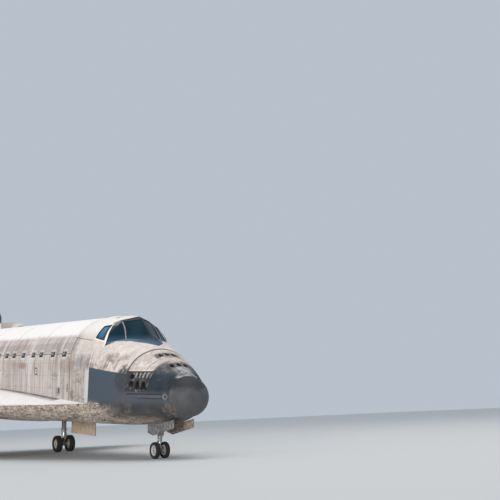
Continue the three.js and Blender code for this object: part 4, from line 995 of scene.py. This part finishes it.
cabin = coat(body_shell("forward_fuselage_skin", NOSE_BREAK, CABIN_END - GAP, 94), BODY)
hollow = coat(body_shell("hollow", 401, 570, 42, 72, 4), CABIN)
cut(hollow, [coat(block("floor", (-120, 120), (390, 580), (335, 520)), CABIN)], "INTERSECT")
cut(cabin, [hollow])
openings = [coat(slab("pane", "s", outline, *FRONT_REACH, 1.2), HUB) for outline in FRONT_PANES]
openings.append(coat(slab("pane", "b", SIDE_PANE, *SIDE_REACH, 1.2), HUB))
openings.append(coat(slab("pane", "s", REAR_PANE, 560, 590, 1), HUB))
openings.append(coat(slab("pane", "w", OVERHEAD_PANE, 470, 510, 2), BODY))
openings += [copied(thing, MIRROR) for thing in openings]
cut(cabin, openings)
hatch_ends = ((b, HATCH_STATION, HATCH_WATERLINE) for b in (50, 120))
cut(cabin, [coat(bar("hatch", *hatch_ends, 20.31, 56, 0), HUB)])
cut(cabin, [coat(block("knuckles", (96.2, 110), (449, 475), (362, 369)), HUB)])
mount(smooth(cabin, 30), "forward_fuselage")

# Windows: dark panes in the surface's own curve, with dark seals and light posts
panes = body_shell("pane_stock", 401.6, 512, 56, RING, 1.1)
cut(panes, [body_shell("pane_core", 397.6, 516, 58, RING, 2.6)])
rooms = [slab("pane_room", "s", outline, *FRONT_REACH, 1.6) for outline in FRONT_PANES]
rooms.append(slab("pane_room", "b", SIDE_PANE, *SIDE_REACH, 1.6))
for room in rooms:
    edit(room, (bpy.ops.transform.resize, {"value": (1.03, 1.03, 1.03)}))
cut(panes, rooms + [copied(room, MIRROR) for room in rooms], "INTERSECT")
overhead = [block("roof_pane", (b - 11.4, b + 11.4), (504.6, 527.4), (492.5, 494), 0.3) for b in (-19, 19)]
panes = joined("cabin_glass_panes", [panes] + overhead)
mount(smooth(coat(panes, GLASS), 30), "cabin_glass", slot="glass")
rear_panes = [block("rear_pane", (b - 8.6, b + 8.6), (572, 573.4), (455.4, 470.6), 0.2) for b in (-18, 18)]
mount(coat(joined("rear_cabin_panes", rear_panes), GLASS), "rear_cabin_glass", slot="glass")

frames = [tube("frame", [crown_point(*spot) for spot in edge_points(pane)], 0.45, 6, True) for pane in FRONT_PANES]
frames.append(tube("frame", [side_point(*spot) for spot in edge_points(SIDE_PANE)], 0.9, 6, True))
frames = [coat(part, HOSE) for part in frames]
post = [crown_point(40.4 - 8.6 * k / 8, 449 + 37 * k / 8) for k in range(9)]
frames.append(coat(tube("post", post, 0.7, 6), FRAME_GREY))
frames += [copied(part, MIRROR) for part in frames]
mount(joined("window_frames", frames), slot="gear_metal")


# Dressed solids


def in_wheel_well(p, n):
    inside = 109 < abs(p.x) < 166 and 1029 < p.y < 1183 and p.z < 309
    return inside and (abs(n.z) < 0.9 or p.z > 300)


mid = dress("mid_fuselage", BODY)
repaint(mid, LINER, lambda p, n: abs(p.x) < 99 and p.z > 300 and 583 < p.y < 1306)
for side in ("left", "right"):
    door = dress(f"payload_door_{side}", BODY)
    repaint(door, LINER, lambda p, n: Vector((abs(p.x), 0, p.z - 395)).length < 103.5)
    dress(f"radiator_{side}", RADIATOR, slot="radiator_silver")
    repaint(dress(f"wing_{side}", WING, 40), WELL, in_wheel_well)
    dress(f"wing_leading_edge_{side}", CARBON, 50, "carbon")
    dress(f"inboard_elevon_{side}", CONTROL, 40)
    dress(f"outboard_elevon_{side}", CONTROL, 40)
    dress(f"rudder_panel_{side}", TAIL, 40)
    dress(f"thruster_pod_{side}", TAIL, 50)
    dress(f"pod_nozzle_{side}", BELL, 40, "engine_metal")
    dress(f"main_engine_{side}", BELL, 40, "engine_metal")
repaint(dress("aft_fuselage", BODY), BASE, lambda p, n: p.y > 1440 and n.y > 0.6)
dress("main_engine_upper", BELL, 40, "engine_metal")
dress("body_flap", BASE, 40, "belly_tile")
dress("fin", TAIL, 30)
dress("rudder_tube", STEEL, 40, "gear_metal")
dress("side_hatch", BODY, 40)
dress("flight_deck", CABIN, 30, "cabin_grey")

# Engine bells: stiffening bands, a rim manifold and feed pipes
ENGINE_BELLS = {
    # gimbal place, turn up and out in degrees, base of the bell
    "main_engine_upper": ((0, 1445, 443), 16, 0, 78),
    "main_engine_left": ((53, 1468, 343), 10, 3.5, 55),
    "main_engine_right": ((-53, 1468, 343), 10, -3.5, 55),
}
BELL_END = 168


def bell_radius(along, base):
    rows = [(base + 2, 22), (base + 20, 30), (118, 38.5), (145, 44.5), (BELL_END, 47.5)]
    (d0, r0), (d1, r1) = next(pair for pair in zip(rows, rows[1:]) if along <= pair[1][0])
    return r0 + (r1 - r0) * (along - d0) / (d1 - d0)


def band(radius, along, half, proud):
    edge = [(radius - 0.8, half), (radius + proud * 0.7, half), (radius + proud, half * 0.5)]
    outline = [(r, along - lift) for r, lift in edge] + [(r, along + lift) for r, lift in reversed(edge)]
    return turned("band", outline, 56, closed=True)


for name, (place, cant, yaw, base) in ENGINE_BELLS.items():
    up, away = math.radians(cant), math.radians(yaw)
    axis = (math.sin(away) * math.cos(up), math.cos(away) * math.cos(up), math.sin(up))
    levels = [base + 24 + (150 - base) * k / 7 for k in range(6)]
    fittings = [band(bell_radius(level, base), level, 0.8, 0.9) for level in levels]
    fittings += [band(bell_radius(160, base), 160, 2.2, 1.8), band(31, base + 3, 2.0, 1.4)]
    levels = [base + 4 + (154 - base) * j / 8 for j in range(9)]
    for k in range(6):
        angle = math.pi * (k + 0.5) / 3
        reaches = [(bell_radius(level, base) + 1.6, level) for level in levels]
        path = [(math.cos(angle) * reach, math.sin(angle) * reach, level) for reach, level in reaches]
        fittings.append(tube("feed_pipe", path, 0.9, 8))
    fittings = aim(joined(f"{name}_bands", fittings), place, axis)
    mount(smooth(coat(fittings, BELL)), slot="engine_metal")

# Payload bay: frames round the trough, sill beams, keel rails and latch fittings
BAY_FRAME_PITCH, BAY_RADIUS, BAY_AXIS = 57, 90.6, 402
trough = []
for k in range(13):
    station = 603 + BAY_FRAME_PITCH * k
    angles = [math.pi * (1 + j / 16) for j in range(17)]
    round_path = [(BAY_RADIUS * math.cos(a), station, BAY_AXIS + BAY_RADIUS * math.sin(a)) for a in angles]
    ends = [(b, station, 411) for b in (-BAY_RADIUS, BAY_RADIUS)]
    trough.append(tube("frame", [ends[0], *round_path, ends[1]], 1.0, 6))
for b, w in ((90.2, 411.5), (62, 335.5), (22, 313)):
    trough += [bar("beam", (b * side, 590, w), (b * side, 1297, w), 1.4, 10) for side in (1, -1)]
for k in range(12):
    station = 628 + BAY_FRAME_PITCH * k
    for reach in ((86.5, 90.5), (-90.5, -86.5)):
        trough.append(block("fitting", reach, (station, station + 8), (406, 413), 0.6))
mount(smooth(coat(joined("payload_bay_frames", trough), BAY_FRAME), 40))

# Side hatch window
WINDOW_WATERLINE = 390
edge = side_point(HATCH_STATION, WINDOW_WATERLINE)[0]
hatch_window = [
    coat(turned("ring", [(4.4, -0.5), (6.6, -0.5), (6.4, 0.35), (4.8, 0.5), (4.4, 0.2)], 40, True), FRAME_GREY),
    coat(turned("pane", [(0.2, -0.5), (4.6, -0.5), (4.6, 0.0), (3.0, 0.1), (0.2, 0.12)], 40, True), GLASS),
]
hatch_window = joined("side_hatch_window", hatch_window)
aim(hatch_window, (edge + 0.1, HATCH_STATION, WINDOW_WATERLINE), (1, 0, 0.03))
mount(smooth(hatch_window), body=BODY_OF["side_hatch"], slot="gear_metal")


# Landing gear

NOSE_AXLE, MAIN_AXLE = (378, 229.7), (1165, 182.15)
MAIN_HALF = 136


def tyre_shape(name, radius, width, rim, grooves):
    """A tyre turned about +Z: bead, wall, shoulder and a tread with round grooves."""
    half, deep = width / 2, radius - rim
    wall = [(rim, 0.62), (rim + 0.5, 0.74), (rim + deep * 0.35, 0.97), (rim + deep * 0.6, 1.0)]
    wall += [(rim + deep * 0.82, 0.93), (radius - 0.5, 0.74)]
    tread = []
    for k in range(grooves):
        middle = half * (0.5 - k / (grooves - 1))
        groove = ((radius, 0.35), (radius - 0.35, 0.2), (radius - 0.35, -0.2), (radius, -0.35))
        tread += [(r, middle + step) for r, step in groove]
    wall = [(r, part * half) for r, part in wall]
    return turned(name, wall + tread + [(r, -z) for r, z in reversed(wall)], closed=True)


def round_axle(k, count, radius, height):
    angle = 2 * math.pi * k / count
    return radius * math.cos(angle), radius * math.sin(angle), height


def rim_shape(name, rim, width, hub, boss, holes):
    """A rim turned about +Z, with a dished face, round holes, bolts and a hub cap."""
    half = width * 0.31
    outline = [
        (rim, -half), (rim + 0.55, -half), (rim + 0.55, -half + 0.7), (rim, -half + 1), (rim, half - 1),
        (rim + 0.55, half - 0.7), (rim + 0.55, half), (rim - 0.4, half + 0.2), (rim - 1.3, half - 0.6),
        (rim - 1.8, half - 2.2), (hub + 1.2, half - 1.5), (hub, half - 0.8), (hub * 0.9, half + 0.4),
        (hub * 0.45, half + 1.0), (0.3, half + 1.05), (0.3, -boss), (hub, -boss), (hub, -half + 1.5),
        (rim - 1.2, -half),
    ]
    add = bpy.ops.mesh.primitive_cylinder_add
    drills, bolts = [], []
    for k in range(holes):
        spot = round_axle(k, holes, (rim - 0.6 + hub) / 2, half - 6)
        drill = start("hole", add, vertices=16, radius=(rim - hub) * 0.19, depth=12, location=spot)
        drills.append(coat(drill, HUB))
        spot = round_axle(k + 0.5, holes, hub + 0.7, half - 0.9)
        bolts.append(coat(start("bolt", add, vertices=6, radius=0.28, depth=0.9, location=spot), STEEL))
    shape = cut(coat(turned(name, outline, closed=True), RIM), drills)
    cap = [(hub * 0.62, half - 0.4), (hub * 0.62, half + 0.7), (hub * 0.4, half + 1.2), (0.2, half + 1.3)]
    return joined(name, [shape, coat(turned("hub_cap", cap, 24), HUB)] + bolts)


def wheel_pair(name, axle, b, spacing, radius, sizes, tyres):
    """Twin wheels and tyres on one axle: each side is the other turned about."""
    width, rim, hub, boss, holes, grooves = sizes
    rim_one = rim_shape(f"{name}_rims", rim, width, hub, spacing / 2 - boss, holes)
    tyre_one = coat(tyre_shape(f"{name}_tyre", radius, width, rim, grooves), TYRE)
    rims = []
    for side, tyre in zip((1, -1), tyres):
        place = (b + side * spacing / 2, *axle)
        rim_copy, rubber = (aim(copied(one, Matrix.Identity(4)), place, (side, 0, 0)) for one in (rim_one, tyre_one))
        rims.append(rim_copy)
        mount(named(rubber, f"{tyre}_rubber"), tyre, body=name, slot="tyre_rubber")
    rims.append(coat(bar("axle", (b - boss, *axle), (b + boss, *axle), hub * 0.45, 24), STEEL))
    mount(smooth(joined(f"{name}_twin_rims", rims), 30), name, body=name, slot="rim_grey")
    bpy.data.objects.remove(rim_one)
    bpy.data.objects.remove(tyre_one)


# width, rim, hub, boss, holes, grooves
nose_sizes = (8.8, 10.2, 3.2, 4.2, 8, 3)
main_sizes = (16, 12, 5, 7, 10, 5)
wheel_pair("nose_wheels", NOSE_AXLE, 0, 21.5, 16, nose_sizes, ("nose_tyre_left", "nose_tyre_right"))
for side, sign, order in (("left", 1, ("outer", "inner")), ("right", -1, ("inner", "outer"))):
    main_tyres = [f"main_tyre_{side}_{one}" for one in order]
    wheel_pair(f"main_wheels_{side}", MAIN_AXLE, sign * MAIN_HALF, 36, 22.24, main_sizes, main_tyres)


def leg_piece(name, parts):
    """Parts of a leg as one piece: pistons of bright steel, dark lines, the rest of painted metal."""
    for part in parts:
        kind = part.name.split(".")[0]
        coat(part, {"line": HOSE, "piston": STEEL}.get(kind, GEAR))
    return smooth(joined(name, parts))


# Nose leg: strut, collars, drag brace, steering jack, lamps and lines
s, w = NOSE_AXLE
leg = [
    bar("strut", (0, s, 252), (0, s, 325.6), 4.2, 32),
    bar("collar", (0, s, 252), (0, s, 257), 5.0, 32, 0.5),
    bar("collar", (0, s, 266), (0, s, 271), 4.9, 32, 0.5),
    bar("collar", (0, s, 288), (0, s, 292), 5.0, 32, 0.5),
    bar("brace", (0, s - 3, 269), (0, 318, 322.8), 2.0, 16),
    bar("brace_joint", (-2.6, 346, 297), (2.6, 346, 297), 3.0),
    block("foot", (-5, 5), (312, 324), (320, 325.6), 0.6),
    bar("cross_pin", (-14, s, 318), (14, s, 318), 2.4),
    bar("steering_jack", (-7, s - 3, 261), (7, s - 3, 261), 1.6, 16),
    block("steering_box", (-4, 4), (s - 8, s - 4), (257, 265), 0.7),
]
for side in (-1, 1):
    hose = ((2.2, 4.4, 318), (3.0, 4.6, 292), (2.4, 5.4, 268), (2.6, 4.2, 255))
    leg += [
        bar("lamp", (side * 7.5, s - 3.4, 279), (side * 7.5, s - 7.5, 278.6), 3.0, 24, 0.3, end_radius=3.4),
        link("lamp_arm", (side * 3.6, s - 1, 281), (side * 8.4, s - 3, 281), 1.6, 0.8),
        tube("line", [(side * out, s + aft, level) for out, aft, level in hose], 0.45),
    ]
mount(leg_piece("nose_gear_leg_fittings", leg), "nose_gear_leg", slot="gear_metal")
fork = [
    bar("piston", (0, s, w), (0, s, 251.7), 2.6, 32),
    bar("boss", (-4.1, s, w), (4.1, s, w), 3.0, 32, 0.4),
    bar("turning_collar", (0, s, 246.6), (0, s, 251.6), 4.4, 32, 0.4),
    link("torque_arm", (0, s + 4, 249), (0, s + 13, 241), 3.4, 1.2),
    link("torque_arm", (0, s + 13, 241), (0, s + 2.6, 231.5), 2.8, 1.2),
    bar("torque_pin", (-2.2, s + 13, 241), (2.2, s + 13, 241), 0.9, 14),
    link("tow_fitting", (0, s - 2.5, w + 0.5), (0, s - 6.5, w - 0.5), 3.0, 1.6),
]
mount(leg_piece("nose_gear_fork_fittings", fork), "nose_gear_fork", body="nose_fork", slot="gear_metal")

# Main legs
b = MAIN_HALF
s, w = MAIN_AXLE
leg = [
    bar("strut", (b, s, 218), (b, s, 307.6), 6.5, 36),
    bar("collar", (b, s, 218), (b, s, 224), 7.6, 36, 0.6),
    bar("collar", (b, s, 250), (b, s, 255), 7.4, 36, 0.6),
    bar("piston", (b, s, w), (b, s, 219), 4.2, 32),
    bar("boss", (b - 6.9, s, w), (b + 6.9, s, w), 5.4, 36, 0.6),
    bar("brace", (b, s - 4, 240), (b, 1098, 303), 3.0, 18),
    block("brace_foot", (b - 6, b + 6), (1090, 1106), (300, 307.6), 0.8),
    link("torque_arm", (b, s - 6, 221), (b, s - 17, 205), 5, 1.8, 0.4),
    link("torque_arm", (b, s - 17, 205), (b, s - 4, 187), 4.4, 1.8, 0.4),
    bar("torque_pin", (b - 3.4, s - 17, 205), (b + 3.4, s - 17, 205), 1.3, 16),
    bar("side_brace", (b - 5, s, 262), (114, s + 8, 304), 2.2, 16),
]
HOSE_PATH = ((3, 6.8, 300), (4, 7.4, 262), (3, 7, 226), (5, 6, 196))
leg += [tube("line", [(b + side * out, s + aft, level) for out, aft, level in HOSE_PATH], 0.6) for side in (1, -1)]
left_leg = leg_piece("main_gear_leg_left_fittings", leg)
right_leg = named(copied(left_leg, MIRROR), "main_gear_leg_right_fittings")
mount(left_leg, "main_gear_leg_left", slot="gear_metal")
mount(right_leg, "main_gear_leg_right", slot="gear_metal")

# Nose gear doors: tiled outside, ribbed inside
DOOR_OUTLINE = [
    (285.4, 294), (300, 290.8), (325, 286.4), (350, 282.9), (375, 280.6), (388, 279.9), (388, 264), (366, 259.5),
    (289, 276.5), (285.4, 279),
]
LINER_OUTLINE = [(287, 291), (300, 288.6), (350, 281), (386, 278), (386, 265.6), (366, 261.6), (290, 278)]
inner = [slab("liner", "b", LINER_OUTLINE, 20.72, 21.32, 0.2)]
for k in range(11):
    station = 290.5 + 9.2 * k
    top = 291.5 - (station - 290) * 0.17 + max(station - 350, 0) * 0.1
    low = max(277.6 - (station - 290) * 0.219, 261.6) + 0.6
    inner.append(block("rib", (20.2, 21.0), (station - 0.7, station + 0.7), (low, top), 0.2))
for lift in (0.3, 0.7):
    drops = [(t, (t - 290) * 0.14 + (14 + max(t - 300, 0) * 0.035) * lift) for t in range(289, 386, 12)]
    inner.append(tube("stringer", [(20.6, station, 291 - drop) for station, drop in drops], 0.5, 6))
plate = coat(slab("plate", "b", DOOR_OUTLINE, 21.3, 22.3, 0.25), TILE_GREY)
door = joined("nose_gear_door_left_panel", [plate] + [coat(part, DOOR_LINER) for part in inner])
twin = named(copied(door, MIRROR), "nose_gear_door_right_panel")
mount(smooth(door, 30), "nose_gear_door_left")
mount(smooth(twin, 30), "nose_gear_door_right")

# Main gear doors, lined inside with a liner made brighter as painted light
for side, sign in (("left", 1), ("right", -1)):
    repaint(dress(f"main_gear_door_{side}", TILE_GREY, 30), MAIN_DOOR_PAINTED_LIGHT, lambda p, n: n.x * sign < -0.5)
    ribs = [block("rib", (164.9, 166.1), (1039 + 17 * k, 1041 + 17 * k), (212, 287), 0.3) for k in range(9)]
    rails = [(level - 1.2, level + 1.2) for level in (213, 236, 262, 284)]
    ribs += [block("rail", (164.7, 166.1), (1033, 1179), reach, 0.3) for reach in rails]
    ribs = coat(joined(f"main_gear_door_{side}_ribs", ribs), MAIN_DOOR_PAINTED_LIGHT)
    if sign < 0:
        ribs.data.transform(MIRROR)
        ribs.data.flip_normals()
    mount(ribs)


# Camera, floor and lights

CAMERA_PLACE = (-22.2753, -60.2040 + ORIGIN_Y, 1.8810)
YAW, TILT, ROLL = 0.61460, 0.18372, -0.04466
FOCAL_PIXELS, PICTURE_PIXELS, SENSOR = 892.86, 500, 36

bpy.ops.object.select_all(action="DESELECT")
bpy.ops.object.camera_add()
camera = bpy.context.object
camera.data.sensor_width = SENSOR
camera.data.lens = FOCAL_PIXELS / PICTURE_PIXELS * SENSOR
camera.data.clip_end = 2000
ahead = Vector((math.sin(YAW) * math.cos(TILT), math.cos(YAW) * math.cos(TILT), math.sin(TILT)))
level = Vector((math.cos(YAW), -math.sin(YAW), 0))
up = level.cross(ahead)
right, top = level * math.cos(ROLL) + up * math.sin(ROLL), up * math.cos(ROLL) - level * math.sin(ROLL)
camera.matrix_world = Matrix.Translation(CAMERA_PLACE) @ Matrix((right, top, -ahead)).transposed().to_4x4()
scene = bpy.context.scene
scene.camera = camera

floor = start("floor", bpy.ops.mesh.primitive_plane_add, size=900)
coat(floor, Paint("pale_floor").finish((214, 214, 212), 0.9))

scene.world = bpy.data.worlds.new("studio")
scene.world.use_nodes = True
background = scene.world.node_tree.nodes["Background"]
background.inputs["Color"].default_value = (0.80, 0.89, 1.0, 1)
background.inputs["Strength"].default_value = 0.6
scene.view_settings.view_transform = "Standard"


def light(name, kind, place, target, **settings):
    bpy.ops.object.select_all(action="DESELECT")
    bpy.ops.object.light_add(type=kind)
    made = bpy.context.object
    made.name = name
    for key, value in settings.items():
        setattr(made.data, key, value)
    turn = (Vector(target) - Vector(place)).to_track_quat("-Z", "Y").to_matrix().to_4x4()
    made.matrix_world = Matrix.Translation(place) @ turn


light("overhead", "AREA", (6, -26, 90), (0, -6, 3), energy=40000, size=90, color=(1, 0.95, 0.90))
light("front", "AREA", (-80, -80, 36), (0, -8, 4), energy=3500, size=90, color=(1, 0.97, 0.95))
light("low", "SUN", (0, 0, 0), (1.0, 0.75, -0.085), energy=1.65, angle=0.25, color=(1, 0.93, 0.86))
